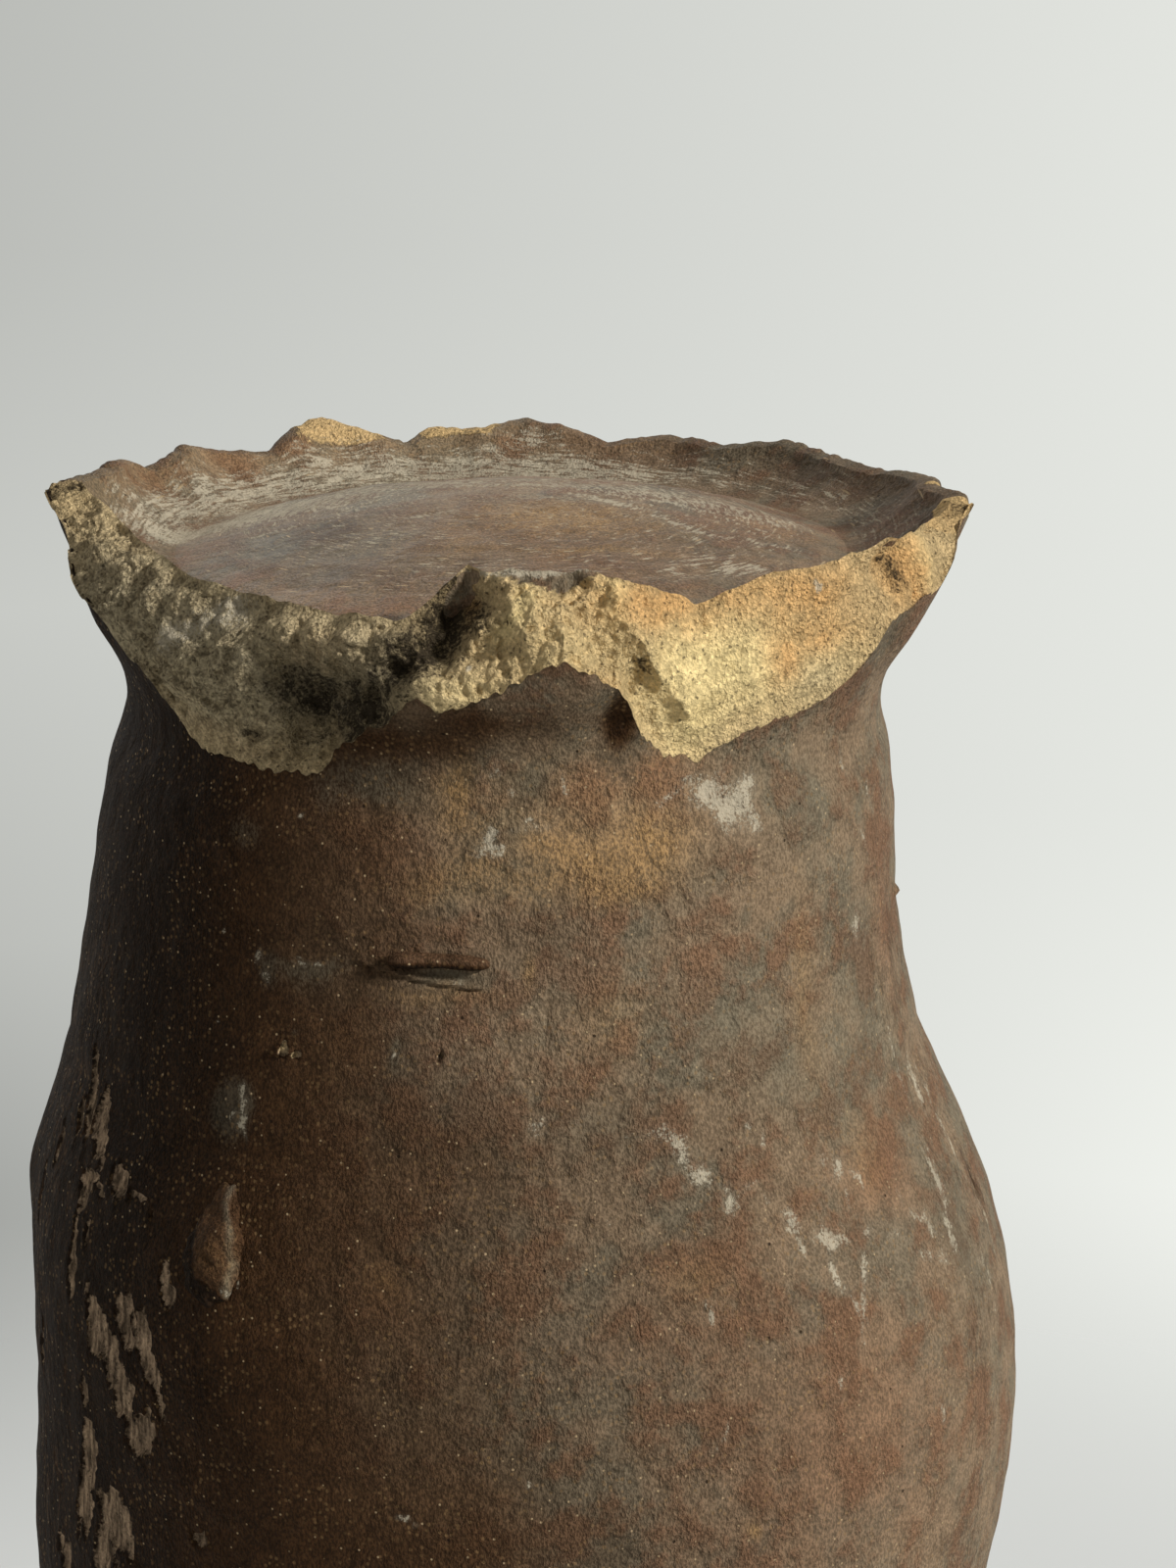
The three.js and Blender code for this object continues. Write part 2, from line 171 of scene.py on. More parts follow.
class JugStudioSettings(PropertyGroup):
    """Light and camera."""
    key_azimuth: angle("Key azimuth", "Direction of the key light from the front to the right", 62)
    key_elevation: angle("Key elevation", "Height of the key light", 28)
    key_angle: angle("Key softness", "Apparent size of the key light", 7)
    key_strength: amount("Key strength", "Light that the key lamp sends", math.pi)
    fill_azimuth: angle("Fill azimuth", "Direction of the fill light, from behind", 205)
    fill_elevation: angle("Fill elevation", "Height of the fill light", 24)
    fill_angle: angle("Fill softness", "Apparent size of the fill light", 40)
    fill_strength: amount("Fill strength", "Light that the fill lamp sends", 0.8)
    ambient_left: amount("Ambient left", "Light from the far left", 0.38)
    ambient_right: amount("Ambient right", "Light from the far right", 0.1)
    pitch: angle("Pitch", "How far the camera looks down", 16.1)
    focal_pixels: FloatProperty(name="Focal length", description="Focal length in pixels of the picture",
                                default=3200.0, min=1.0)
    picture_height: FloatProperty(name="Picture height", description="Height of the picture in pixels",
                                  default=1600.0, min=1.0)
    camera_place: FloatVectorProperty(name="Camera", description="Place of the camera", size=3,
                                      default=(0.0075, -0.3315, 0.3034), subtype="XYZ", unit="LENGTH")


# Curves, noise and spots, all on whole arrays

def ease(value, low, high):
    """0 below low and 1 above high, with a smooth cubic step between."""
    share = np.clip((value - low) / (high - low), 0.0, 1.0)
    return share * share * (3 - 2 * share)


def mixed(first, second, share):
    return first + (second - first) * share


def line_through(knots):
    """A smooth line through [place, value] knots: a cubic between each two, whose slope at a knot is the
    mean of the slopes on its two sides."""
    place, value = np.array(knots, float).T
    rise = np.diff(value) / np.diff(place)
    slope = (np.concatenate([rise[:1], rise]) + np.concatenate([rise, rise[-1:]])) / 2

    def line(at):
        i = np.clip(np.searchsorted(place, at, side="left") - 1, 0, len(place) - 2)
        span = place[i + 1] - place[i]
        t = (at - place[i]) / span
        bend = t * t * (3 - 2 * t)
        leave = slope[i] * span * t * (1 - t) ** 2
        arrive = slope[i + 1] * span * t * t * (1 - t)
        return value[i] + (value[i + 1] - value[i]) * bend + leave - arrive

    return line


def lattice(cell, seed):
    """A number from 0 to 1 for each whole cell: its three numbers times large odd ones, added and mixed."""
    bits = cell[..., 0] * 73856093 ^ cell[..., 1] * 19349663 ^ cell[..., 2] * 83492791 ^ seed * 2654435
    bits = (bits ^ (bits >> 13)) * 1274126177
    bits = (bits ^ (bits >> 15)) * 668265263
    return ((bits >> 8) & 0xFFFFFF) / float(0xFFFFFF)


def noise(points, size, seed):
    """Smooth noise from -1 to 1 with lumps of a size: the values at the eight corners of a point's cell,
    blended by a cubic of how far the point is along each side."""
    place = points / size + 31.7 * seed
    cell = np.floor(place).astype(np.int64)
    share = place - cell
    share = share * share * (3 - 2 * share)
    total = np.zeros(points.shape[:-1])
    for corner in itertools.product((0, 1), repeat=3):
        weight = np.prod(np.where(corner, share, 1 - share), axis=-1)
        total += weight * lattice(cell + corner, seed)
    return 2 * total - 1


SKEW = np.array([[0.0, 0.8, 0.6], [-0.8, 0.36, -0.48], [-0.6, -0.48, 0.64]])


def rough(points, size, octaves, seed):
    """Noise with finer noise on top: each octave is turned, half as large and half as high."""
    total = np.zeros(points.shape[:-1])
    for octave in range(octaves):
        points = points @ SKEW
        total += noise(points, size / 2 ** octave, seed + octave) / 2 ** octave
    return total


def crumbs(points, size, seed):
    """Distance, in cells, from each point to the nearest of a loose set of seeds, one in each cell."""
    place = points / size
    cell = np.floor(place).astype(np.int64)
    nearest = np.full(points.shape[:-1], 9.0)
    for step in itertools.product((-1, 0, 1), repeat=3):
        there = cell + step
        seeds = there + np.stack([lattice(there, seed + k) for k in range(3)], axis=-1)
        nearest = np.minimum(nearest, np.linalg.norm(seeds - place, axis=-1))
    return nearest


def oval(across, up, wide, tall, turn):
    """Distance from the middle of an oval, in its own half width and half height."""
    tilt = math.radians(turn)
    along = across * math.cos(tilt) + up * math.sin(tilt)
    over = up * math.cos(tilt) - across * math.sin(tilt)
    return np.hypot(2 * along / wide, 2 * over / tall)


def oval_distance(azimuth, level, radius, mark):
    """Distance of each point of the wall from an oval mark [azimuth, level, width, height, turn]."""
    across = np.radians((azimuth - mark[0] + 180) % 360 - 180) * radius
    return oval(across, level - mark[1], *mark[2:5])


def flat_spots(east, north, marks):
    """Marks [x, y, width, height, turn, strength] with soft edges on a level face: what each lets through
    is one minus its strength times a bell curve of the distance, and all that is multiplied."""
    through = np.ones_like(east)
    for mark in marks:
        distance = oval(east - mark[0], north - mark[1], *mark[2:5])
        through = through * (1 - mark[5] * np.exp(-distance ** 2))
    return 1 - through


def soft_spots(azimuth, level, radius, marks):
    """The same on the wall, with an azimuth and a level in place of x and y."""
    through = np.ones_like(level)
    for mark in marks:
        distance = oval_distance(azimuth, level, radius, mark)
        through = through * (1 - mark[5] * np.exp(-distance ** 2))
    return 1 - through


def patches(azimuth, level, radius, marks):
    """Oval marks with firm edges: the greatest strength less half the distance, so that 0.5 is the edge
    of a mark of full strength."""
    field = np.zeros_like(level)
    for mark in marks:
        distance = oval_distance(azimuth, level, radius, mark)
        field = np.maximum(field, mark[5] * (1 - 0.5 * distance))
    return field


# The shape of the pot

class Pot:
    """Radii of the pot at any level, in millimetres, and the place of a point on it."""

    def __init__(self, scene):
        body = scene.jug_body
        foot = scene.jug_foot
        self.wall = body.wall / MM
        self.fit = body.fit / MM
        self.tongue = body.tongue / MM
        self.waver = body.waver / MM
        self.base = foot.base / MM
        self.skirt = foot.skirt / MM
        self.trough = FOOT_PLANE - foot.trough / MM
        shoulder = BELLY_FROM - SHOULDER_FROM
        belly = STEM_FROM - BELLY_FROM
        stem = FOOT_FROM - STEM_FROM
        self.body_outline = line_through([
            (NECK_FROM, body.neck / MM),
            (SHOULDER_FROM, body.cordon_seat / MM),
            (SHOULDER_FROM + shoulder * 0.42, body.shoulder / MM),
            (BELLY_FROM, body.girth / MM),
            (BELLY_FROM + belly * 0.4, body.belly / MM),
            (BELLY_FROM + belly * 0.7, body.haunch / MM),
            (STEM_FROM, body.kink / MM),
        ])
        self.foot_outline = line_through([
            (STEM_FROM, body.kink / MM),
            (STEM_FROM + stem * 0.45, body.stem / MM),
            (FOOT_FROM, body.foot_joint / MM),
            (FOOT_FROM + 8.5, foot.waist / MM),
            (FOOT_FROM + 18, foot.flare / MM),
            (FOOT_PLANE, foot.lip / MM),
        ])
        self.lean = line_through([
            (0, 0),
            (SHOULDER_FROM, 0),
            (BELLY_FROM, -1.3),
            (BELLY_FROM + belly * 0.45, 0.5),
            (STEM_FROM, -2.8),
            (FOOT_FROM, -1.9),
            (FOOT_PLANE, -0.3),
        ])

    def outer(self, level):
        return np.where(level <= STEM_FROM, self.body_outline(level), self.foot_outline(level))

    def inner(self, level):
        """An even wall up to the kink, thicker from there to the base."""
        even = self.outer(np.minimum(level, FOOT_FROM)) - self.wall
        under_base = self.base - self.fit / 2 - self.skirt
        return mixed(even, under_base, ease(level, STEM_FROM, FOOT_FROM))

    def seam(self, level):
        return (self.outer(level) + self.inner(level)) / 2

    def place(self, azimuth, radius, level):
        """Millimetres along X, Y and Z of points at an azimuth, radius and level of the leaning pot."""
        turn = np.radians(azimuth)
        x = radius * np.sin(turn) + self.lean(level)
        y = -radius * np.cos(turn)
        return np.stack(np.broadcast_arrays(x, y, level), axis=-1)


def azimuths(columns, crowding=0.4):
    """Azimuths of the columns of a grid round the pot, closer together at the front: an even lap plus
    crowding times its sine."""
    lap = 2 * np.pi * np.arange(columns) / columns
    return np.degrees(lap + crowding * np.sin(lap)) - 180



# Scars and stains of the glazed wall, as [azimuth, level, width, height, turn, strength], with painted
# shadow among the SHADE marks and one painted highlight among the OCHRE ones. A turned mark rises towards +X.
FLAKES = [
    (-44, 149.5, 3.4, 6.5, 0, 1), (-47, 154, 4, 5, 10, 1), (-61.5, 181, 2.2, 9, 6, 0.9),
    (-57, 177, 3, 7, 8, 1), (-58, 171.5, 1.8, 5, 0, 0.9), (-64, 177, 1.6, 4, 0, 0.85),
    (-51.2, 174, 2.8, 3, 20, 1), (-46.6, 174, 2.8, 0.9, -10, 0.95), (-43.8, 173, 2.2, 0.8, -50, 0.95),
    (-55, 172.2, 3.4, 0.9, -30, 0.95), (-58.3, 163.7, 1.7, 8, 0, 0.95), (-55.4, 167.3, 1, 2.6, 0, 0.9),
    (-39.3, 167, 1.8, 5, 25, 0.9), (-52.7, 159, 3, 5.5, 10, 1), (-49.5, 156.5, 2.6, 7, 10, 1),
    (-46.4, 161, 2.4, 6.5, 10, 1), (-43.6, 160, 2.6, 6.5, 15, 1), (-41.6, 156, 2, 8, 20, 1),
    (-48.3, 152.5, 1.8, 5, 0, 0.95), (-55.5, 150, 2, 4, 0, 0.85), (-42.9, 152.4, 1.3, 1.2, 0, 0.9),
    (-54.8, 143.5, 3, 8, 0, 1), (-56.2, 137.5, 3.8, 7, 0, 1), (-49.5, 138.5, 6, 5, 0, 1),
    (-47.5, 136, 4, 3, 0, 1), (-52, 132.5, 5, 6, 0, 1), (-68.5, 172.6, 1.4, 5, 0, 0.85),
    (-73, 167.5, 1.4, 7, 0, 0.85), (-70, 150, 1.4, 6, 0, 0.85), (-35.5, 141, 1.8, 1.5, 0, 0.95),
    (-62, 128, 3, 6, 0, 0.9), (-112, 168, 5, 4, 20, 0.95), (-131, 150, 4, 7, 0, 0.95),
    (151, 176, 3, 5, 15, 0.95), (117, 128, 5, 3, 0, 0.95), (-96, 96, 5, 4, 0, 1), (-20, 88, 3, 4, 0, 1),
    (73, 83, 4, 3, 0, 1),
]
PEBBLES = [
    (-26.4, 192.2, 1.2, 1, 30, 1), (-25, 191.6, 1, 0.9, 0, 1), (-4.9, 193.3, 0.8, 0.7, 0, 0.9),
]
LIME = [
    (33, 215.4, 3.6, 6.6, 35, 0.95), (36.6, 216.6, 2.6, 4.6, -30, 0.9), (30.6, 217.6, 4.4, 2.4, 30, 0.85),
    (37.6, 213.6, 2.2, 2.6, 0, 0.85), (24, 217.2, 4, 1.6, 15, 0.5), (27.5, 218.8, 3, 1.6, 25, 0.5),
    (22.5, 214.8, 3, 3, 0, 0.3), (0, 220.9, 1.6, 1.7, 20, 0.7), (-2, 220, 1.5, 1, 0, 0.5),
    (9.4, 219, 0.9, 2.4, 20, 0.9), (2.4, 218.3, 1.2, 1.6, -30, 0.7), (4.8, 215.5, 5, 1, 8, 0.75),
    (-0.1, 214.5, 1.5, 1.8, 0, 0.85), (-1.2, 213.2, 3, 1.2, 0, 0.75), (1.2, 213.4, 1.4, 1, 0, 0.7),
    (-2.8, 216.2, 2, 1.6, 0, 0.5), (58.9, 199, 1.8, 4.4, 0, 0.9), (62, 207.5, 1, 5, 25, 0.6),
    (58.6, 216, 0.9, 4, 0, 0.6), (65, 211, 0.8, 6, 15, 0.55), (6.8, 186.1, 2.4, 2.8, 0, 0.6),
    (12, 186.6, 3, 1, 0, 0.4), (17.9, 184.2, 3, 1, 10, 0.4), (23.9, 183.2, 3, 2.6, -10, 0.8),
    (21.5, 184.6, 3, 1.6, 0, 0.6), (26.6, 179.5, 4.2, 2.2, -30, 0.85), (25, 181.2, 2, 2, 0, 0.6),
    (29.7, 176.4, 2, 2.8, -20, 0.9), (32.9, 177.4, 2.6, 0.6, 0, 0.7), (35.1, 175.7, 0.8, 2.4, 35, 0.7),
    (37, 173.2, 2.4, 2.4, 0, 0.85), (37.6, 171, 1, 2, 0, 0.8), (42, 170.6, 4.6, 2.2, -15, 0.9),
    (41, 167.4, 1.2, 3.6, 10, 0.8), (42.4, 163.4, 1, 4.6, 15, 0.8), (45.4, 166.6, 1.2, 4, -15, 0.8),
    (44, 163.8, 0.8, 3, -15, 0.75), (42, 160.6, 1, 3.6, 0, 0.5), (48, 170, 3, 1.4, 0, 0.7),
    (52, 168.3, 3, 1, -15, 0.7), (57, 164.6, 4.6, 1.2, -20, 0.8), (60, 163.4, 2, 2, 0, 0.7),
    (57.4, 168.4, 3, 1.6, -30, 0.85), (59.6, 167, 1.6, 2.6, 20, 0.85), (56, 171, 1, 2, 0, 0.6),
    (65.7, 170, 1.8, 7, -8, 0.9), (63.8, 164.6, 1.4, 5, -12, 0.8), (71, 178.7, 1.8, 6, -5, 0.85),
    (67, 182, 1.2, 9, 10, 0.6), (74, 173, 1.2, 12, 0, 0.7), (76, 160, 1.4, 12, 0, 0.65),
    (70, 156, 1.4, 10, 0, 0.55), (46.2, 176.4, 1.6, 3, -25, 0.85), (44.6, 178, 2, 1.6, 0, 0.6),
    (49.3, 174.8, 0.8, 3.6, 35, 0.85), (46.6, 173.6, 0.8, 1.8, 0, 0.7), (34.7, 183.3, 1, 1.8, -20, 0.7),
    (36.7, 181, 0.9, 2.4, -10, 0.7), (43.9, 182.4, 5, 1.8, 10, 0.4), (50.5, 181.5, 3.4, 2, 20, 0.4),
    (24, 166.8, 0.9, 2.4, 15, 0.85), (22.4, 154.8, 0.7, 3.6, -35, 0.75), (52.6, 148.8, 0.8, 3.6, 5, 0.8),
    (-10.9, 147.8, 2.8, 0.8, -30, 0.95), (1.9, 152.2, 1.6, 0.5, -10, 0.95), (38, 157, 0.8, 1.6, 0, 0.7),
    (14, 176.5, 1, 1.2, 0, 0.5), (-31.6, 186.4, 0.9, 3.4, 12, 0.85), (-30.8, 183.6, 0.9, 3.6, 8, 0.9),
    (-32.6, 184.6, 0.8, 1.8, 0, 0.6), (-31.4, 200.9, 1, 2.4, 20, 0.75), (-29.6, 198.8, 1.4, 1.4, 0, 0.75),
    (-24.8, 200.8, 2, 1, 0, 0.85), (-22.4, 200.8, 1.2, 0.7, 0, 0.8), (-27.3, 215.6, 0.9, 0.6, 0, 0.95),
    (-37.7, 202.4, 0.7, 0.6, 0, 0.9), (-37.2, 193.3, 0.6, 0.5, 0, 0.9), (-3.4, 200.2, 1.4, 0.8, 0, 0.8),
    (-10.9, 192.6, 0.5, 0.7, 0, 0.9), (-29.3, 169, 0.8, 0.7, 0, 0.9), (122, 190, 5, 12, 10, 0.6),
    (170, 150, 9, 4, 0, 0.6), (-150, 205, 6, 8, 0, 0.6), (40, 120, 5, 4, 0, 0.7),
    (160, 196, 8, 3, 20, 0.6), (-120, 132, 4, 10, 0, 0.5), (100, 150, 3, 14, 5, 0.6),
]
OCHRE = [
    (-5.6, 219.4, 3, 5, 0, 0.8), (-4, 216.4, 4.4, 3, 0, 0.5), (8, 213.8, 7, 3, -20, 0.6),
    (13, 212.2, 8, 4.6, -20, 0.75), (21, 212.8, 8, 6, 0, 0.9), (18.5, 209, 7, 2.6, 0, 0.6),
    (-2, 212.2, 6, 3, 0, 0.4), (6, 210.2, 22, 4, 0, 0.45), (10, 217, 30, 10, 0, 0.25),
    (4.9, 201.5, 1.2, 3.2, 0, 0.55), (-6.7, 199, 11, 1.8, 0, 0.4), (-12.5, 171, 4, 3.4, 0, 0.5),
    # The mark at azimuth 46, level 194 is a painted highlight: a narrow upright band of light on the stem.
    (46, 194, 3, 18, 0, 0.3), (-18, 193.6, 9, 6, 0, 0.25), (-7.6, 209.6, 6, 4, 0, 0.35),
    (26, 222, 6, 2.4, 0, 0.3), (24.5, 145.5, 1.4, 1.4, 0, 0.9), (52, 176, 5, 8, 0, 0.2),
    (23, 170, 6, 4, 0, 0.3), (16, 196, 8, 6, 0, 0.2), (130, 205, 24, 12, 0, 0.4),
    (-160, 178, 30, 16, 10, 0.35), (175, 128, 26, 20, 0, 0.3), (90, 96, 30, 16, 0, 0.3),
    (0, 90, 24, 14, 0, 0.3),
]
RUST = [
    (-14, 212.5, 9, 8, 0, 0.65), (-7, 205, 10, 4, 0, 0.5), (22, 220.4, 7, 3.4, 0, 0.85),
    (13, 219.5, 5, 4, 0, 0.6), (-18, 194, 12, 8, 0, 0.4), (-35, 208, 8, 5, 0, 0.35),
    (-13, 169.5, 9, 7, 0, 0.5), (-31, 175, 4, 8, 0, 0.7), (-28, 196, 8, 5, 0, 0.4),
    (-23, 189, 8, 6, 0, 0.35), (22.7, 172, 10, 4, 0, 0.6), (70, 198, 5, 14, 0, 0.6),
    (54, 173.6, 12, 7, 0, 0.6), (38, 150, 34, 26, 0, 0.5), (15, 165, 28, 8, 0, 0.3),
    (-20, 150, 26, 20, 0, 0.3), (-5, 180, 14, 8, 0, 0.25), (180, 195, 36, 20, 0, 0.35),
    (140, 150, 30, 26, 0, 0.35), (-90, 120, 40, 24, 0, 0.3),
]
ASH = [
    (-19, 219.5, 14, 6, 0, 0.7), (-33.5, 184.5, 5.5, 8, 0, 0.9), (-24, 200, 9, 6, 0, 0.6),
    (-15.7, 219, 6, 4, 0, 0.7), (5.4, 219.6, 5, 4, 0, 0.8), (3.5, 215.4, 6, 4.4, 0, 0.7),
    (8.2, 200.3, 9, 6, 0, 0.35), (41.6, 188.6, 14, 12, 0, 0.45), (29.5, 193.7, 14, 9, 0, 0.35),
    (15.5, 185.6, 12, 6, 0, 0.4), (-11.6, 158.3, 13, 7, 0, 0.45), (26.6, 208.7, 8, 6, 0, 0.4),
    (65, 161.7, 9, 16, 0, 0.6), (-22.2, 167.2, 6.4, 5.5, 0, 0.4), (-1.3, 188, 7, 6, 0, 0.35),
    (50, 182, 10, 4, 0, 0.4), (-35.7, 212.7, 6, 5, 0, 0.7), (-24.2, 217, 4.2, 5, 0, 0.5),
    (-31.6, 185.2, 3.8, 6.4, 0, 0.95), (-30.4, 200, 3.2, 4.6, 0, 0.85), (-24, 201, 9, 1.8, 0, 0.8),
    (-10.9, 193.6, 3.2, 4.4, 0, 0.8), (-4.4, 200.4, 8, 1.8, 0, 0.8), (-26, 193.4, 2, 1.6, 0, 0.7),
    (47, 214, 12, 12, 0, 0.4), (-49, 163.5, 5, 2.6, 0, 0.5), (60, 192, 10, 20, 0, 0.35),
    (150, 212, 20, 10, 0, 0.4), (-130, 190, 24, 14, 0, 0.4),
]
# These marks darken the glaze. Near the break they are painted shadow cast by the broken edge of the foot, most of all
# in the dent right of the tongue. The rest are darker patches of glaze.
SHADE = [
    (15.5, 226, 5, 8, 0, 0.8), (-3, 226, 9, 5, 0, 0.6), (6, 226, 9, 6, 0, 0.35),
    (-18, 223.5, 10, 3, 0, 0.4), (8, 206, 8, 7, 0, 0.3), (60, 230, 10, 8, 0, 0.3),
    (73, 192, 5, 16, 0, 0.3), (-10, 142, 40, 20, 0, 0.3), (-7, 223, 10, 4, 0, 0.45),
    (77, 166, 2, 8, 0, 0.6),
]

# Dents and welts in the glazed wall, as [azimuth, level, width, height, turn, millimetres out]
WELTS = [
    (8, 195.5, 1.2, 9, 0, -0.3), (10.3, 196, 1.6, 8, 0, 0.12), (14.5, 226, 4.5, 6.5, 0, -1.2),
    (-26.2, 192, 2, 1.2, 10, 0.6), (80, 198, 1.4, 1.6, 0, 0.7), (-84, 166, 14, 15, 0, 0.8),
    (-32.5, 171, 9, 15, 0, 0.5), (38, 202.4, 2.8, 2.8, 0, 0.14), (38, 202.4, 1.8, 1.8, 0, -0.2),
    (64, 196, 5, 24, 0, -0.3), (-8, 204.2, 14, 1.6, 0, -0.14), (50, 190, 8, 12, 0, -0.25),
    (-46, 158.5, 10, 11, 0, -0.4),
]
CRACK_TOP = [
    (-18.7, 202.4), (-12, 201.9), (-5, 201.2), (0.9, 200.1),
]
CRACK_FOOT = [
    (-18.7, 202.1), (-15, 201.7), (-8, 200.5), (-3, 200), (0.9, 199.7),
]


# How dark the glaze is, as [azimuth, share], on the stem and on the belly
DARK_STEM = [
    (-180, 0.3), (-140, 1), (-48, 1), (-34, 0.8), (-25, 0.63), (-16, 0.54), (-8, 0.26), (0, 0.15),
    (12, 0.08), (24, 0), (150, 0.1), (180, 0.3),
]
DARK_BELLY = [
    (-180, 0.3), (-140, 1), (-50, 1), (-39, 0.9), (-31, 0.76), (-23, 0.7), (-16, 0.6), (-2, 0.5),
    (5, 0.38), (18, 0.3), (26, 0.25), (34, 0.14), (45, 0), (150, 0.1), (180, 0.3),
]


def crack_lip(azimuth, level):
    """Height of the thin lip of a crack under the splinter: a ridge along the lower of two lines that
    meet at both ends, a thread of shadow under it, and a shallow sunk lens between them."""
    top = np.interp(azimuth, *np.array(CRACK_TOP).T)
    foot = np.interp(azimuth, *np.array(CRACK_FOOT).T)
    inside = ease(azimuth, CRACK_TOP[0][0], CRACK_TOP[0][0] + 3) * (1 - ease(azimuth, -1, CRACK_TOP[-1][0]))
    ridge = 0.36 * np.exp(-((level - foot) / 0.28) ** 2) - 0.3 * np.exp(-((level - foot + 0.6) / 0.25) ** 2)
    sink = 0.2 * ease(level, foot, foot + 0.25) * (1 - ease(level, top - 0.25, top + 0.1))
    return inside * (ridge - sink)


def strayed(azimuth, level, radius, points, reach, size, seed):
    """Azimuths and levels moved about by noise, so that marks placed by them have uneven outlines."""
    turned = azimuth + np.degrees(reach * rough(points, size, 3, seed) / radius)
    return turned, level + reach * rough(points, size, 3, seed + 5)


def flake_field(azimuth, level, radius, points):
    """Where glaze has flaked off, above 0.5: firm marks with a ragged edge, torn along the height."""
    marks = patches(*strayed(azimuth, level, radius, points, 0.6, 2.4, 11), radius, FLAKES + PEBBLES)
    torn = rough(points * (1, 1, 0.35), 1.1, 3, 15)
    return marks + 0.3 * torn * (marks > 0.02)


def wall_relief(pot, azimuth, level, radius, points):
    """Millimetres that the glazed wall stands out from its true outline: slow wavering, throwing rings,
    small lumps, dents and welts, the lip of the crack, and flaked places sunk under a raised edge."""
    rings = np.sin(2 * np.pi * level / 7.3 + 2.2 * noise(points, 34, 3))
    height = pot.waver * (rough(points, 24, 2, 1) - 1.0)
    height = height + 0.05 * rings + 0.1 * noise(points, 6.5, 5) + 0.05 * rough(points, 2.2, 2, 7)
    for mark in WELTS:
        height = height + mark[5] * np.exp(-oval_distance(azimuth, level, radius, mark) ** 2 * 1.5)
    height = height + crack_lip(azimuth, level)
    flaked = flake_field(azimuth, level, radius, points)
    bare = ease(flaked, 0.47, 0.53)
    edge = np.exp(-((flaked - 0.44) / 0.06) ** 2)
    return height - bare * (0.42 + 0.12 * rough(points, 1.4, 2, 9)) + 0.1 * edge


def wall_finish(azimuth, level, radius, points):
    """Shares of each finish on the glazed wall. The glaze is darkest on the left, and the dark share also
    carries painted shadow from the SHADE marks. The flanks are streaked from top to bottom."""
    slow = rough(points, 15, 3, 21)
    placed = strayed(azimuth, level, radius, points, 0.9, 5.0, 23)
    crumbled = strayed(azimuth, level, radius, points, 0.5, 1.6, 27)
    moved = np.clip(azimuth + 5 * slow, -180, 180)
    dark = mixed(np.interp(moved, *np.array(DARK_BELLY).T), np.interp(moved, *np.array(DARK_STEM).T),
                 ease(level, 183, 197))
    # The SHADE marks add painted shadow here, below the broken edge of the foot.
    dark = 1 - (1 - dark) * (1 - soft_spots(*placed, radius, SHADE)) * (1 - 0.12 * ease(slow, 0, 1))
    flank = ease(np.abs(azimuth), 52, 68) * (1 - ease(np.abs(azimuth), 100, 130))
    return {
        "dark": dark,
        "ochre": soft_spots(*placed, radius, OCHRE),
        "rust": soft_spots(*placed, radius, RUST),
        "ash": soft_spots(*placed, radius, ASH),
        "lime": soft_spots(*crumbled, radius, LIME),
        "streak": flank * (1 - 0.7 * ease(level, 188, 206)),
        "bare": flake_field(azimuth, level, radius, points),
        "flaked": 1 - soft_spots(azimuth, level, radius, PEBBLES),
    }




# Meshes from grids of points

def ring_faces(rows, columns, closed):
    """Four-sided faces between the rows and columns of a grid whose columns close on themselves."""
    row = np.arange(rows if closed else rows - 1)[:, None]
    column = np.arange(columns)[None, :]
    beside = (column + 1) % columns
    above = (row + 1) % rows
    corners = [row * columns + column, row * columns + beside, above * columns + beside, above * columns + column]
    return np.stack(corners, axis=-1).reshape(-1, 4)


def skin(name, points, finish=None, closed=True, crease=58):
    """A smooth closed mesh over points[row, column] in millimetres. Columns run round and close. Rows
    close too, or else the first and the last row each draw together in one point."""
    rows, columns = points.shape[:2]
    faces = ring_faces(rows, columns, closed).tolist()
    vertices = points.reshape(-1, 3)
    poles = 0
    if not closed:
        start = rows * columns
        ends = np.stack([points[0].mean(axis=0), points[-1].mean(axis=0)])
        vertices = np.concatenate([vertices, ends])
        column = np.arange(columns)
        beside = (column + 1) % columns
        last = (rows - 1) * columns
        faces += np.stack([beside, column, np.full(columns, start)], axis=-1).tolist()
        faces += np.stack([last + column, last + beside, np.full(columns, start + 1)], axis=-1).tolist()
        poles = 2
    mesh = bpy.data.meshes.new(name)
    mesh.from_pydata((vertices * MM).tolist(), [], faces)
    for label, values in (finish or {}).items():
        flat = np.broadcast_to(values, (rows, columns)).reshape(-1)
        full = np.concatenate([flat, np.zeros(poles)])
        if poles:
            full[-2:] = flat[:1].item(), flat[-1:].item()
        attribute = mesh.attributes.new(label, "FLOAT", "POINT")
        attribute.data.foreach_set("value", full.astype(np.float32))
    mesh.polygons.foreach_set("use_smooth", np.ones(len(mesh.polygons), dtype=bool))
    mesh.set_sharp_from_angle(angle=math.radians(crease))
    mesh.update()
    return mesh


def add_vectors(mesh, label, values):
    """Writes a vector into the mesh for each point of its grid. Vertices past the grid get the last one."""
    flat = values.reshape(-1, 3)
    spare = len(mesh.vertices) - len(flat)
    full = np.concatenate([flat, np.repeat(flat[-1:], spare, axis=0)])
    attribute = mesh.attributes.new(label, "FLOAT_VECTOR", "POINT")
    attribute.data.foreach_set("vector", full.astype(np.float32).ravel())


def add_piece(node, suffix, mesh, material):
    """Puts a finished mesh into the scene in place of its CAD node, riding on the one body."""
    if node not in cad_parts:
        raise RuntimeError("the frame has no node named " + node)
    piece = bpy.data.objects.new(node + suffix, mesh)
    bpy.context.scene.collection.objects.link(piece)
    mesh.materials.append(material)
    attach(piece, "root")
    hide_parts(node)
    return piece


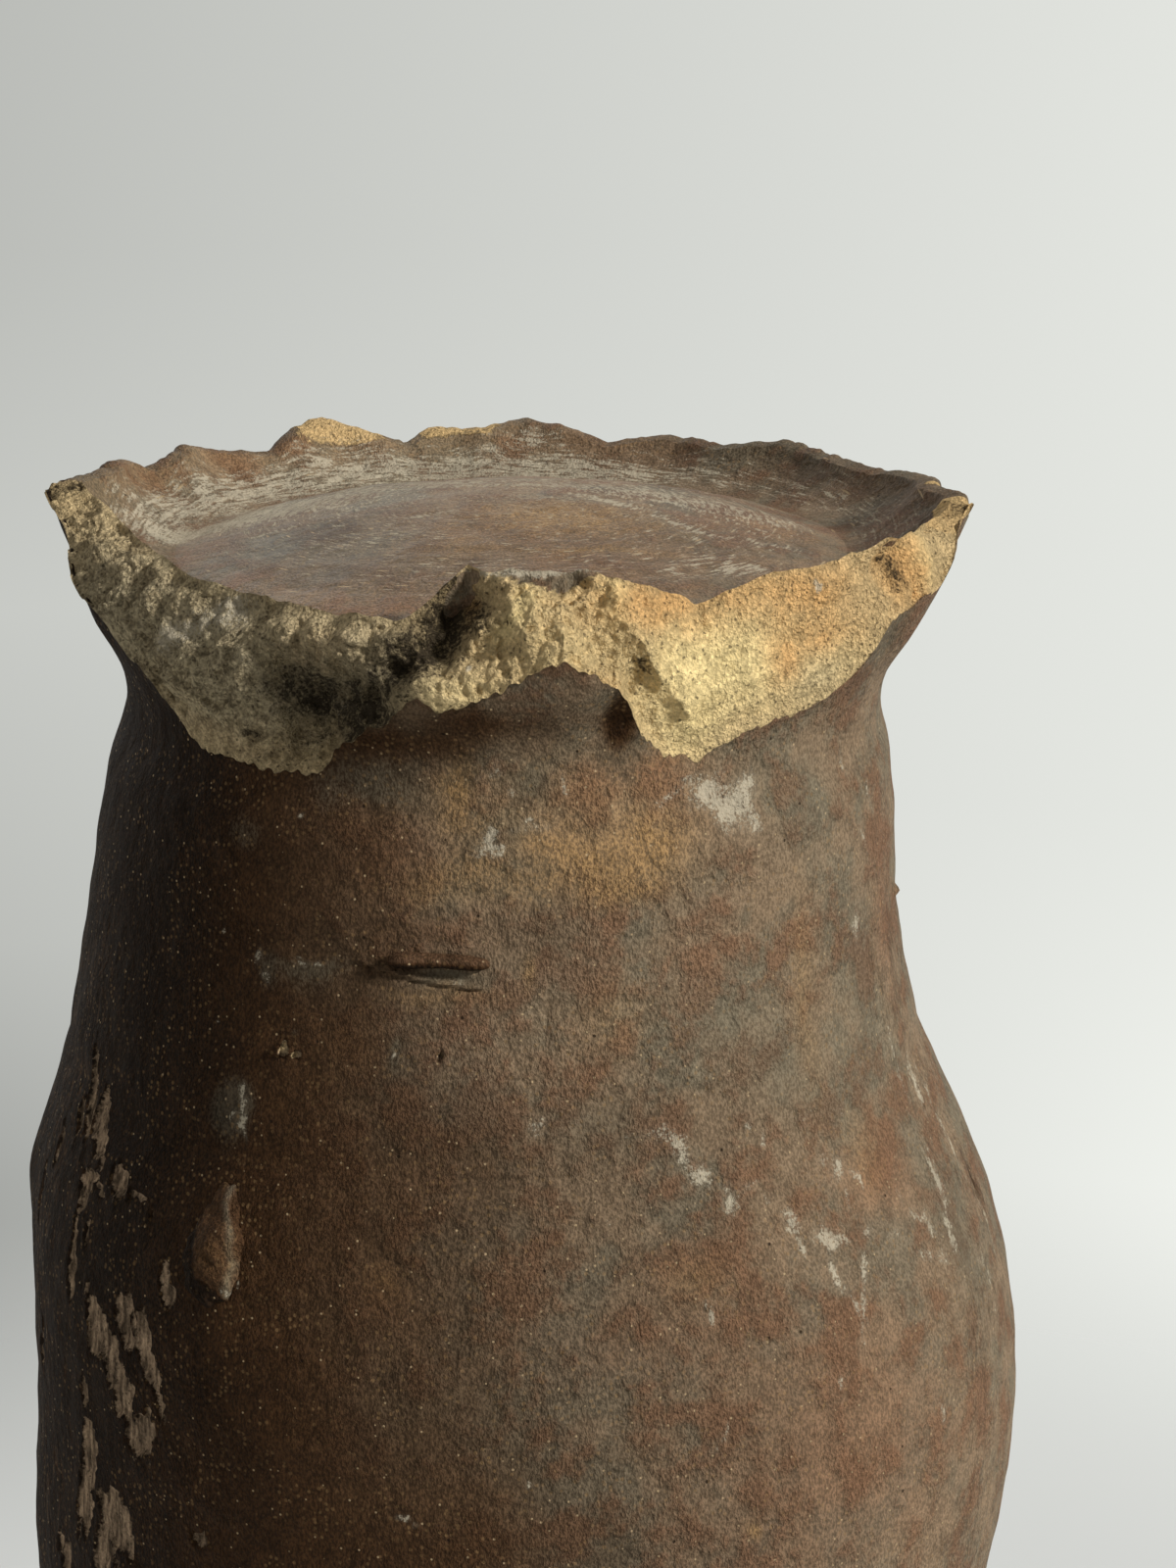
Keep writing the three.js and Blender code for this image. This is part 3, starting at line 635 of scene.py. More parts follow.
def zone_mesh(pot, name, section, columns):
    """One ring of the pot from its section, a closed loop of [radius, level, outside] rows. Rows with
    outside 1 carry the relief and the finish of the glazed wall."""
    radius, level, outside = (column[:, None] for column in np.array(section, float).T)
    azimuth = azimuths(columns)[None, :]
    azimuth, level, radius = np.broadcast_arrays(azimuth, level, radius)
    bare_place = pot.place(azimuth, radius, level)
    relief = wall_relief(pot, azimuth, level, radius, bare_place)
    points = pot.place(azimuth, radius + outside * relief, level)
    finish = wall_finish(azimuth, level, radius, bare_place)
    for label in ("lime", "bare", "streak"):
        finish[label] = finish[label] * outside
    return skin(name, points, finish)


def wall_section(pot, low, high, step, top):
    """Section of one thrown zone: up the outside, over its top, down the inside, round the groove."""
    roof = low + pot.tongue + pot.fit
    side = pot.seam(low) + pot.fit / 2
    outside = np.linspace(low, high, max(int(round((high - low) / step)), 2) + 1)
    inside = np.linspace(high, roof, int((high - roof) / 3.0) + 2)[1:-1]
    rows = [(pot.outer(z), z, 1) for z in outside]
    rows += [(r, z, 0) for r, z in top]
    rows += [(pot.inner(z), z, 0) for z in inside]
    rows += [(pot.inner(roof), roof, 0), (side, roof, 0), (side, low, 0)]
    return rows


def tongue_rows(pot, level):
    """The tongue on top of a zone, on its inner half."""
    side = pot.seam(level) - pot.fit / 2
    top = level + pot.tongue
    return [(side, level), (side, top), (pot.inner(top), top)]


# Node trees

def node(tree, kind, inputs=None, **settings):
    """Adds a node with its settings, and sets or links its inputs."""
    made = tree.nodes.new(kind)
    for key, value in settings.items():
        setattr(made, key, value)
    for key, value in (inputs or {}).items():
        if isinstance(value, NodeSocket):
            tree.links.new(value, made.inputs[key])
        else:
            made.inputs[key].default_value = value
    return made


def calc(tree, operation, first, second=0.0, clamp=False):
    made = node(tree, "ShaderNodeMath", {0: first, 1: second}, operation=operation, use_clamp=clamp)
    return made.outputs[0]


def blend(tree, share, first, second, mode="MIX"):
    made = node(tree, "ShaderNodeMix", {0: share, 6: first, 7: second}, data_type="RGBA", blend_type=mode)
    return made.outputs[2]


def step_up(tree, value, low, high, start=0.0, end=1.0):
    """A smooth step of a value from start at low to end at high."""
    inputs = {"Value": value, "From Min": low, "From Max": high, "To Min": start, "To Max": end}
    return node(tree, "ShaderNodeMapRange", inputs, interpolation_type="SMOOTHSTEP").outputs[0]


def cloud(tree, place, millimetres, detail=2.0, roughness=0.5):
    """Noise around 0.5 with lumps of a size in millimetres."""
    inputs = {"Vector": place, "Scale": 1 / (millimetres * MM), "Detail": detail, "Roughness": roughness}
    return node(tree, "ShaderNodeTexNoise", inputs).outputs[0]


def field(tree, label):
    return node(tree, "ShaderNodeAttribute", attribute_name=label).outputs["Fac"]


def opaque(rgb):
    return (rgb[0], rgb[1], rgb[2], 1.0)


def new_group(label, inputs, outputs):
    """A shader node group with named sockets. Returns it with the sockets inside."""
    tree = bpy.data.node_groups.new(label, "ShaderNodeTree")
    for name, kind, default in inputs:
        socket = tree.interface.new_socket(name, in_out="INPUT", socket_type=kind)
        if default is not None:
            socket.default_value = default
    for name, kind in outputs:
        tree.interface.new_socket(name, in_out="OUTPUT", socket_type=kind)
    return tree, tree.nodes.new("NodeGroupInput").outputs, tree.nodes.new("NodeGroupOutput").inputs


FLOAT, COLOR, VECTOR = "NodeSocketFloat", "NodeSocketColor", "NodeSocketVector"


def group_once(label, make):
    return bpy.data.node_groups.get(label) or make(label)


def peel_group(label):
    """Salt glaze skin: grains over a wider orange peel. Bead is 0 in the valleys and 1 on the grains."""
    tree, given, out = new_group(label, [("Place", VECTOR, None), ("Size", FLOAT, 0.45)],
                                 [("Height", FLOAT), ("Bead", FLOAT)])
    scale = calc(tree, "DIVIDE", 1 / MM, given["Size"])
    drawn = node(tree, "ShaderNodeVectorMath", {0: given["Place"], 1: (1.0, 1.0, 0.6)},
                 operation="MULTIPLY").outputs[0]
    inputs = {"Vector": drawn, "Scale": scale, "Detail": 3.0, "Roughness": 0.6}
    grains = node(tree, "ShaderNodeTexNoise", inputs).outputs[0]
    wide = cloud(tree, drawn, 1.3, 3.0, 0.6)
    height = calc(tree, "ADD", grains, calc(tree, "MULTIPLY", wide, 1.3))
    tree.links.new(height, out["Height"])
    tree.links.new(step_up(tree, grains, 0.36, 0.64), out["Bead"])
    return tree


def ragged_group(label):
    """Turns a soft field into a mask with a crisp ragged edge at 0.5."""
    tree, given, out = new_group(label, [("Place", VECTOR, None), ("Field", FLOAT, 0.0), ("Rag", FLOAT, 0.3),
                                         ("Grain", FLOAT, 0.6), ("Width", FLOAT, 0.06)], [("Mask", FLOAT)])
    scale = calc(tree, "DIVIDE", 1 / MM, given["Grain"])
    inputs = {"Vector": given["Place"], "Scale": scale, "Detail": 4.0, "Roughness": 0.65}
    fine = node(tree, "ShaderNodeTexNoise", inputs).outputs[0]
    spread = calc(tree, "MULTIPLY", calc(tree, "SUBTRACT", fine, 0.5), calc(tree, "MULTIPLY", given["Rag"], 2.0))
    value = calc(tree, "ADD", given["Field"], spread)
    low = calc(tree, "SUBTRACT", 0.5, given["Width"])
    high = calc(tree, "ADD", 0.5, given["Width"])
    tree.links.new(step_up(tree, value, low, high), out["Mask"])
    return tree


def speck_group(label):
    """Scattered round specks: those cells of a grid whose own number is below the amount, near their middle."""
    tree, given, out = new_group(label, [("Place", VECTOR, None), ("Size", FLOAT, 1.0), ("Amount", FLOAT, 0.2),
                                         ("Width", FLOAT, 0.3)], [("Mask", FLOAT)])
    scale = calc(tree, "DIVIDE", 1 / MM, given["Size"])
    cells = node(tree, "ShaderNodeTexVoronoi", {"Vector": given["Place"], "Scale": scale}, feature="F1")
    number = node(tree, "ShaderNodeSeparateColor", {0: cells.outputs["Color"]}).outputs[0]
    chosen = calc(tree, "LESS_THAN", number, given["Amount"])
    edge = calc(tree, "MULTIPLY", given["Width"], 0.55)
    near = calc(tree, "SUBTRACT", 1.0, step_up(tree, cells.outputs["Distance"], edge, given["Width"]))
    tree.links.new(calc(tree, "MULTIPLY", chosen, near), out["Mask"])
    return tree


def crumb_group(label):
    """Dry lime: a faint haze where it is thin, breaking into crumbs a grain wide where it is thicker. The
    streaks add to it or take from it."""
    tree, given, out = new_group(label, [("Place", VECTOR, None), ("Density", FLOAT, 0.0), ("Streaks", FLOAT, 0.0),
                                         ("Haze", FLOAT, 0.3)],
                                 [("Mask", FLOAT)])
    fine = cloud(tree, given["Place"], 0.36, 3.0, 0.7)
    middle = cloud(tree, given["Place"], 1.6, 3.0, 0.6)
    density = calc(tree, "ADD", given["Density"], given["Streaks"])
    uneven = calc(tree, "ADD", calc(tree, "MULTIPLY", fine, 1.9), calc(tree, "MULTIPLY", middle, 1.0))
    value = calc(tree, "ADD", density, calc(tree, "SUBTRACT", uneven, 1.45))
    crumbled = step_up(tree, value, 0.4, 0.82)
    present = step_up(tree, density, 0.1, 0.45)
    haze = calc(tree, "MULTIPLY", calc(tree, "MULTIPLY", density, given["Haze"]), present, clamp=True)
    mask = calc(tree, "MAXIMUM", calc(tree, "MULTIPLY", crumbled, present), haze, clamp=True)
    tree.links.new(mask, out["Mask"])
    return tree


def wash_group(label):
    """Iron wash under salt glaze: brown that clouds over into olive and russet, deepens to near black with
    russet grains left standing in it, and takes ochre, rust and ash where its fields say so."""
    finish = bpy.context.scene.jug_finish
    tree, given, out = new_group(label, [
        ("Place", VECTOR, None), ("Tone", COLOR, opaque(finish.wash)), ("Bead", FLOAT, 0.5),
        ("Dark", FLOAT, 0.0), ("Ochre", FLOAT, 0.0), ("Rust", FLOAT, 0.0), ("Ash", FLOAT, 0.0),
    ], [("Color", COLOR), ("Thick", FLOAT)])
    place = given["Place"]
    broad = cloud(tree, place, 10.0, 3.0, 0.6)
    russet = cloud(tree, place, 6.0, 4.0, 0.65)
    middle = cloud(tree, place, 1.8, 4.0, 0.7)
    tone = blend(tree, step_up(tree, broad, 0.43, 0.61, 0.0, 0.75), given["Tone"], opaque(finish.ash))
    tone = blend(tree, step_up(tree, russet, 0.47, 0.63, 0.0, 0.7), tone, opaque(finish.rust))
    uneven = calc(tree, "SUBTRACT", calc(tree, "ADD", calc(tree, "MULTIPLY", middle, 1.3), given["Bead"]), 1.15)
    for name, label_in, spread in (("rust", "Rust", 0.45), ("ash", "Ash", 0.4), ("ochre", "Ochre", 0.65)):
        wanted = given[label_in]
        share = calc(tree, "ADD", 1.0, calc(tree, "MULTIPLY", uneven, spread))
        patch = calc(tree, "MULTIPLY", wanted, share, clamp=True)
        tone = blend(tree, patch, tone, opaque(getattr(finish, name)))
    patchy = calc(tree, "MULTIPLY", uneven, 0.13)
    thick = calc(tree, "SUBTRACT", given["Dark"], patchy, clamp=True)
    ember = blend(tree, step_up(tree, given["Dark"], 0.3, 0.8), tone, opaque(finish.ember))
    tone = blend(tree, thick, ember, opaque(finish.deep))
    dusted = calc(tree, "ADD", given["Ash"], calc(tree, "MULTIPLY", uneven, 0.3))
    tone = blend(tree, step_up(tree, dusted, 0.4, 1.0, 0.0, 0.55), tone, opaque([0.6 * c for c in finish.ash]))
    light = calc(tree, "MULTIPLY", step_up(tree, middle, 0.3, 0.7, 0.9, 1.1),
                 step_up(tree, given["Bead"], 0.0, 1.0, 0.78, 1.2))
    grey = node(tree, "ShaderNodeCombineColor", {0: light, 1: light, 2: light}).outputs[0]
    tree.links.new(blend(tree, 1.0, tone, grey, "MULTIPLY"), out["Color"])
    tree.links.new(thick, out["Thick"])
    return tree


def clay_group(label):
    """Broken stoneware: buff clay full of sand, with orange, yellow and grey zones, dark grains, and hollows
    darkened both by soot and by painted shadow. The pits between its grains are painted darker and their
    tops lighter, as shade and light. Puts out its colour and the height of its grains."""
    finish = bpy.context.scene.jug_finish
    tree, given, out = new_group(label, [
        ("Place", VECTOR, None), ("Grain", FLOAT, 0.42), ("Warm", FLOAT, 0.0), ("Pale", FLOAT, 0.0),
        ("Grey", FLOAT, 0.0), ("Soot", FLOAT, 0.0), ("Flaked", FLOAT, 0.0),
    ], [("Color", COLOR), ("Height", FLOAT)])
    place = given["Place"]
    middle = cloud(tree, place, 1.7, 4.0, 0.7)
    scale = calc(tree, "DIVIDE", 1 / MM, given["Grain"])
    fine = node(tree, "ShaderNodeTexNoise", {"Vector": place, "Scale": scale, "Detail": 3.0, "Roughness": 0.7})
    bent = node(tree, "ShaderNodeVectorMath", {0: fine.outputs["Color"], 1: (0.0005, 0.0005, 0.0005), 2: place},
                operation="MULTIPLY_ADD").outputs[0]
    sand = node(tree, "ShaderNodeTexVoronoi", {"Vector": bent, "Scale": scale}, feature="F1")
    number = node(tree, "ShaderNodeSeparateColor", {0: sand.outputs["Color"]})
    fine = fine.outputs[0]
    tone = blend(tree, given["Pale"], opaque(finish.clay), opaque(finish.pale_clay))
    for share, name in (("Warm", "warm_clay"), ("Grey", "grey_clay")):
        patch = calc(tree, "MULTIPLY", given[share], step_up(tree, middle, 0.3, 0.62, 0.8, 1.15), clamp=True)
        tone = blend(tree, patch, tone, opaque(getattr(finish, name)))
    height = calc(tree, "ADD", calc(tree, "MULTIPLY", fine, 0.9), calc(tree, "MULTIPLY", middle, 1.2))
    height = calc(tree, "SUBTRACT", height, calc(tree, "MULTIPLY", sand.outputs["Distance"], 0.35))
    tone = blend(tree, given["Flaked"], tone, opaque(finish.flaked))
    # Painted shade and light: the pits between the grains are darker and the grain tops lighter, and the pits are
    # darker still where the clay is grey.
    shade = calc(tree, "SUBTRACT", 0.74, calc(tree, "MULTIPLY", given["Grey"], 0.4))
    light = calc(tree, "MULTIPLY", step_up(tree, height, 0.6, 1.15, shade, 1.25),
                 step_up(tree, number.outputs[0], 0.0, 1.0, 0.88, 1.12))
    black = calc(tree, "MULTIPLY", calc(tree, "GREATER_THAN", number.outputs[1], 0.88),
                 step_up(tree, sand.outputs["Distance"], 0.5, 0.3))
    uneven = calc(tree, "SUBTRACT", calc(tree, "ADD", middle, fine), 1.0)
    # Soot and painted shadow: this field, with more in the grey zone, darkens the hollows of the grain, together with
    # the black grains.
    soiled_and_shaded = calc(tree, "ADD", given["Soot"], calc(tree, "MULTIPLY", given["Grey"], 0.15))
    dirt_and_shade = step_up(tree, calc(tree, "ADD", soiled_and_shaded, calc(tree, "MULTIPLY", uneven, 1.5)), 0.42, 1.0)
    dirt_and_shade = calc(tree, "MAXIMUM", calc(tree, "MULTIPLY", dirt_and_shade, 0.96), calc(tree, "MULTIPLY", black, 0.7))
    tone = blend(tree, dirt_and_shade, tone, opaque(finish.soot))
    grey = node(tree, "ShaderNodeCombineColor", {0: light, 1: light, 2: light}).outputs[0]
    tone = blend(tree, 1.0, tone, grey, "MULTIPLY")
    tree.links.new(tone, out["Color"])
    tree.links.new(height, out["Height"])
    return tree


def use_group(tree, made, inputs):
    placed = node(tree, "ShaderNodeGroup", node_tree=made)
    for key, value in inputs.items():
        if isinstance(value, NodeSocket):
            tree.links.new(value, placed.inputs[key])
        else:
            placed.inputs[key].default_value = value
    return placed.outputs


def fired_material(label, tone, gloss=0.6, peel=1.0, turned=False, shine=0.06, specks=0.28):
    """Iron-washed, salt-glazed stoneware. The mesh's fields say where it is dark, ochre, rusty, ashy, limy,
    streaked or bare, and what the bare clay is like. Streaks run up the wall, or round a turned base."""
    found = bpy.data.materials.get(label)
    if found:
        return found
    finish = bpy.context.scene.jug_finish
    material = bpy.data.materials.new(label)
    material.use_nodes = True
    tree = material.node_tree
    tree.nodes.clear()
    place = node(tree, "ShaderNodeTexCoord").outputs["Object"]
    drawn = node(tree, "ShaderNodeVectorMath", {0: place, 1: (1.0, 1.0, 0.16)}, operation="MULTIPLY").outputs[0]
    if turned:
        drawn = node(tree, "ShaderNodeAttribute", attribute_name="turned").outputs["Vector"]
    lines = calc(tree, "SUBTRACT", cloud(tree, drawn, 0.36 if turned else 0.7, 3.0, 0.6), 0.5)
    streaks = calc(tree, "MULTIPLY", calc(tree, "MULTIPLY", lines, 3.2), field(tree, "streak"))
    ragged = group_once("Ragged edge", ragged_group)
    specked = group_once("Specks", speck_group)
    skin = use_group(tree, group_once("Orange peel", peel_group), {"Place": place, "Size": finish.peel / MM})
    dark = calc(tree, "SUBTRACT", field(tree, "dark"), calc(tree, "MULTIPLY", streaks, 0.2 if turned else 0.5))
    wash = use_group(tree, group_once("Iron wash", wash_group), {
        "Place": place, "Tone": opaque(tone), "Bead": skin["Bead"], "Dark": dark,
        "Ochre": field(tree, "ochre"), "Rust": field(tree, "rust"), "Ash": field(tree, "ash"),
    })
    clay = use_group(tree, group_once("Broken stoneware", clay_group), {
        "Place": place, "Grain": finish.grain / MM, "Warm": field(tree, "warm"), "Pale": field(tree, "pale"),
        "Grey": field(tree, "grey"), "Soot": field(tree, "soot"), "Flaked": field(tree, "flaked"),
    })
    bare = use_group(tree, ragged, {"Place": place, "Field": field(tree, "bare"), "Rag": 0.2, "Grain": 0.6,
                                    "Width": 0.05})["Mask"]
    white = use_group(tree, group_once("Crumbled lime", crumb_group), {
        "Place": place, "Density": field(tree, "lime"), "Streaks": calc(tree, "MULTIPLY", streaks, 1.25 if turned else 0.55),
        "Haze": 0.22 if turned else 0.14,
    })["Mask"]
    # Sparks: bright specks in the spark colour, partly grains standing in the glaze and partly painted glints. On the
    # base they are drawn out into dashes.
    sparks = use_group(tree, specked, {"Place": drawn if turned else place, "Size": 0.9, "Amount": specks,
                                       "Width": 0.17})["Mask"]
    pits = use_group(tree, specked, {"Place": place, "Size": 1.6, "Amount": 0.07, "Width": 0.13})["Mask"]
    grits = use_group(tree, specked, {"Place": place, "Size": 0.6, "Amount": 0.42, "Width": 0.42})["Mask"]
    grits = calc(tree, "MULTIPLY", grits, step_up(tree, cloud(tree, place, 5.0, 3.0, 0.6), 0.4, 0.62, 0.04, 0.34))
    color = blend(tree, grits, wash["Color"], opaque(finish.ochre))
    color = blend(tree, calc(tree, "MULTIPLY", sparks, 0.9), color, opaque(finish.spark))
    color = blend(tree, calc(tree, "MULTIPLY", pits, 0.85), color, opaque(finish.deep))
    fibres = step_up(tree, lines, -0.18, 0.18, 0.3, 1.5)
    fibres = node(tree, "ShaderNodeCombineColor", {0: fibres, 1: fibres, 2: fibres}).outputs[0]
    broken = blend(tree, field(tree, "flaked"), clay["Color"], fibres, "MULTIPLY")
    color = blend(tree, bare, color, broken)
    color = blend(tree, calc(tree, "MULTIPLY", white, 0.74), color, opaque(finish.lime))
    dry = calc(tree, "MAXIMUM", bare, white)
    roughness = calc(tree, "ADD", gloss, calc(tree, "MULTIPLY", wash["Thick"], 0.08))
    roughness = calc(tree, "ADD", roughness, calc(tree, "MULTIPLY", dry, 0.3), clamp=True)
    rougher = step_up(tree, cloud(tree, place, 6.0, 3.0, 0.6), 0.38, 0.62, 0.45 * peel, 1.25 * peel)
    glazed = calc(tree, "MULTIPLY", skin["Height"], calc(tree, "MULTIPLY", rougher, finish.peel_depth))
    glazed = calc(tree, "SUBTRACT", glazed, calc(tree, "MULTIPLY", pits, 0.12 * MM))
    torn = calc(tree, "MULTIPLY", calc(tree, "MULTIPLY", lines, field(tree, "flaked")), 1.6 * MM)
    coarse = calc(tree, "SUBTRACT", finish.grain * 1.7, calc(tree, "MULTIPLY", field(tree, "pale"), finish.grain * 0.8))
    grains = calc(tree, "ADD", calc(tree, "MULTIPLY", clay["Height"], coarse), torn)
    height = node(tree, "ShaderNodeMix", {0: bare, 2: glazed, 3: grains}, data_type="FLOAT").outputs[0]
    height = calc(tree, "ADD", height, calc(tree, "MULTIPLY", white, 0.06 * MM))
    bump = node(tree, "ShaderNodeBump", {"Height": height, "Distance": 1.0, "Strength": 1.0})
    shader = node(tree, "ShaderNodeBsdfPrincipled", {
        "Base Color": color, "Roughness": roughness, "Specular IOR Level": shine, "Normal": bump.outputs[0],
    })
    output = node(tree, "ShaderNodeOutputMaterial")
    tree.links.new(shader.outputs[0], output.inputs["Surface"])
    return material


def iron_wash():
    return fired_material("Iron wash glaze", bpy.context.scene.jug_finish.wash)


def dark_wash():
    tone = bpy.context.scene.jug_finish.wash
    return fired_material("Thick iron wash glaze", [0.72 * part for part in tone], gloss=0.5)


def base_wash():
    tone = bpy.context.scene.jug_finish.base
    return fired_material("Base wash", tone, gloss=0.5, peel=0.7, turned=True, shine=0.12, specks=0.6)


def foot_clay():
    return fired_material("Thumbed foot", bpy.context.scene.jug_finish.wash, turned=True)


def kiln_grit():
    return fired_material("Kiln grit", bpy.context.scene.jug_finish.wash, peel=1.3)


# The thrown body

class JUG_OT_throw_body(Operator):
    """Makes the rim, neck, shoulder, belly and stem, each seated on the next by a tongue in a groove"""
    bl_idname = "jug.throw_body"
    bl_label = "Throw the body"

    def execute(self, context):
        pot = Pot(context.scene)
        zones = [
            ("neck_wall", NECK_FROM, SHOULDER_FROM, 1.0, tongue_rows(pot, SHOULDER_FROM), 360),
            ("shoulder_wall", SHOULDER_FROM, BELLY_FROM, 1.0, tongue_rows(pot, BELLY_FROM), 480),
            ("belly_wall", BELLY_FROM, STEM_FROM, 0.66, tongue_rows(pot, STEM_FROM), 760),
            ("stem_wall", STEM_FROM, FOOT_FROM, 0.36, [(pot.inner(FOOT_FROM), FOOT_FROM)], 900),
        ]
        for node_name, low, high, step, top, columns in zones:
            mesh = zone_mesh(pot, node_name, wall_section(pot, low, high, step, top), columns)
            add_piece(node_name, "_glazed", mesh, iron_wash())
        self.make_rim(context, pot)
        return {"FINISHED"}

    def make_rim(self, context, pot):
        """The collar: flat where it rests, rounded outside, drawn in to the neck."""
        body = context.scene.jug_body
        rim = body.rim / MM
        bore = rim - body.rim_wall / MM
        edge = 1.5
        corner = np.linspace(0, math.pi / 2, 7)
        rows = [(rim - edge + edge * math.sin(a), edge * (1 - math.cos(a)), 0) for a in corner]
        rows += [(rim, z, 0) for z in np.linspace(edge, NECK_FROM * 0.6, 8)[1:]]
        close = np.linspace(0, 1, 12)[1:]
        rows += [(mixed(rim, body.neck / MM, s * s * (3 - 2 * s)), mixed(NECK_FROM * 0.6, NECK_FROM, s), 1)
                 for s in close]
        rows += [(r, z, 0) for r, z in tongue_rows(pot, NECK_FROM)]
        rows += [(pot.inner(NECK_FROM), NECK_FROM, 0), (bore, edge, 0)]
        rows += [(bore + edge * (1 - math.cos(a)), edge * (1 - math.sin(a)), 0) for a in corner[1:]]
        mesh = zone_mesh(pot, "rim_band", rows, 360)
        add_piece("rim_band", "_glazed", mesh, dark_wash())


class JUG_OT_lay_cordon(Operator):
    """Makes the cordon over the seam between neck and shoulder"""
    bl_idname = "jug.lay_cordon"
    bl_label = "Lay the cordon"

    def execute(self, context):
        """The section is a swelling whose height is the sine of the share of its width to a power, pressed
        by a thumb at even steps round the pot."""
        pot = Pot(context.scene)
        trim = context.scene.jug_trim
        width = trim.cordon_width / MM
        share = np.linspace(0, 1, 26)[:, None]
        azimuth = azimuths(480)[None, :]
        level = SHOULDER_FROM + width * (share - 0.5) + 0.15 * np.sin(np.radians(azimuth) * 5)
        ground = pot.outer(np.clip(level, NECK_FROM, BELLY_FROM))
        press = 1 - 0.16 * (0.5 + 0.5 * np.cos(np.radians(azimuth) * 22)) ** 3
        swell = trim.cordon_proud / MM * np.sin(np.pi * share) ** 0.6 * press
        outside = ground + pot.fit + swell
        inside = ground[::-1] - 0.6 + 0 * azimuth
        radius = np.concatenate([outside, inside[1:-1]])
        level = np.concatenate([level, level[::-1][1:-1]])
        azimuth = np.broadcast_to(azimuth, radius.shape)
        place = pot.place(azimuth, radius, level)
        radius = radius + 0.08 * rough(place, 3.0, 3, 41)
        mesh = skin("neck_cordon", pot.place(azimuth, radius, level), wall_finish(azimuth, level, radius, place))
        add_piece("neck_cordon", "_pressed", mesh, dark_wash())
        return {"FINISHED"}


# The foot: crests left by a thumb, and the broken front

# Level of the whole lip, as [azimuth, depth below the foot plane]
LIP = [
    (-180, 1.2), (-171, 2.3), (-166, 2), (-162, 3.4), (-157, 2.1), (-150, 0), (-145, 0.8), (-139, 2.8),
    (-132, 2.4), (-124, 0.7), (-115.5, 2.4), (-111.5, 0.8), (-105, 0.4), (-98, 0.4), (-90, 0), (88, 1.3),
    (99, 1.7), (110, 2.1), (118, 2.6), (132, 2.2), (139, 1.8), (148, 2.9), (158, 2.6), (167, 3.4),
    (171, 2.2), (180, 1.2),
]
CRESTS = [-180, -168, -150, -130, -112, -90, -70, -50, -30, -10, 10, 30, 50, 70, 90, 105, 138, 156, 180]

# The broken face, as [azimuth, rise of its outer edge above the foot joint, radius of its inner edge, depth
# of its inner edge below the foot plane, and how far it stands out from the straight line between those
# edges one fifth, half and four fifths of the way]
BREAK = [
    (-92, 29, 46.8, 0.5, 0, 0, 0), (-88, 28.2, 45.4, 1.1, 0, 0, 0), (-82, 26.2, 43, 2.2, 0, 0.3, 0.2),
    (-76, 24, 41.6, 3, 0.2, 0.6, 0.4), (-71, 21.8, 41, 3.6, 0.4, 1, 0.6),
    (-64, 19.2, 40.3, 4.3, 0.6, 1.3, 0.8), (-61, 16, 40.1, 4.6, 0.8, 1.5, 0.9),
    (-55, 14, 40.3, 5, 1, 1.8, 1), (-52, 10.8, 40.4, 5.2, 1.2, 2, 1), (-49, 8.4, 40.6, 5.4, 1.4, 2.2, 1.2),
    (-43, 7.4, 39.3, 6, 1.7, 2.6, 1.2), (-38, 7.1, 39.1, 6.3, 1.8, 2.6, 1.4),
    (-34, 7, 39.2, 6.4, 1.2, 2, 1.6), (-31, 6.9, 39.4, 6.4, 0.2, 0.4, 1.8),
    (-27, 7.3, 39.8, 6.4, -0.2, -0.6, 1.8), (-24, 7.8, 40.2, 6.4, -0.4, -0.8, 1.5),
    (-22, 9.8, 40.5, 6.4, -0.4, -0.8, 1.2), (-18, 12.2, 41.2, 6.4, -0.2, -0.4, 1),
    (-13, 14.6, 41, 6.2, 0.2, -0.6, 0.6), (-10, 16.8, 38.6, 5, 0.8, -0.6, 0),
    (-7.5, 14.9, 38.4, 3, 1, -0.4, -1.7), (-5.5, 15.4, 38.2, 1.6, 1.2, 0, -1.8),
    (-3, 16.4, 39.6, 1.6, 1, 0.6, -0.5), (0, 17.6, 39.4, 1.7, 0.6, 0.7, 0.5),
    (4, 19.6, 39.5, 1.8, 0.4, 0.6, 0.6), (7, 20.9, 39.6, 1.9, 0.2, 0.2, 0.2),
    (9.5, 19.4, 39.6, 2, 0, -0.2, 0), (12, 18.2, 39.9, 2.1, -0.2, -0.1, 0.5),
    (12.8, 18.1, 40.2, 2.2, -0.3, -0.1, 0.7), (14.5, 17.6, 41, 2.4, -0.6, -0.2, 1),
    (17, 15, 41, 2.8, -0.6, 0.2, 0.9), (19.5, 12.2, 40.4, 3.6, -0.2, 0.8, 0.7),
    (21.6, 10.6, 40, 4.2, 0.4, 1, 0.4), (23.5, 9.2, 39.8, 4.9, 0.8, 1, 0.2),
    (28, 8.6, 39.8, 5.6, 1.1, 0.8, 0), (31, 9.6, 40.6, 4.8, 1, 0.6, 0), (35, 10.8, 41.1, 4, 0.9, 0.5, 0),
    (42, 11.3, 41.3, 3.5, 0.8, 0.3, 0), (48, 11.8, 42.4, 3.3, 0.7, 0.2, 0),
    (53, 13.6, 42.8, 3, 0.5, 0, -0.2), (56, 16.5, 43.2, 2.8, 0.4, -0.2, -0.4),
    (59, 19.5, 44, 2.3, 0.3, -0.3, -0.6), (64, 20.5, 44.8, 2, 0.4, 0.3, 0),
    (70, 21.5, 44.6, 2.5, 0.4, 0.5, 0.4), (75, 25, 44.3, 3, 0, 0.3, 0.2), (80, 27, 45.5, 2.6, 0, 0, 0),
    (86, 28.4, 46.8, 1.7, 0, 0, 0),
]
BREAK_FROM, BREAK_TO = BREAK[0][0], BREAK[-1][0]
PROFILE_STOPS = [0, 0.2, 0.5, 0.8, 1]

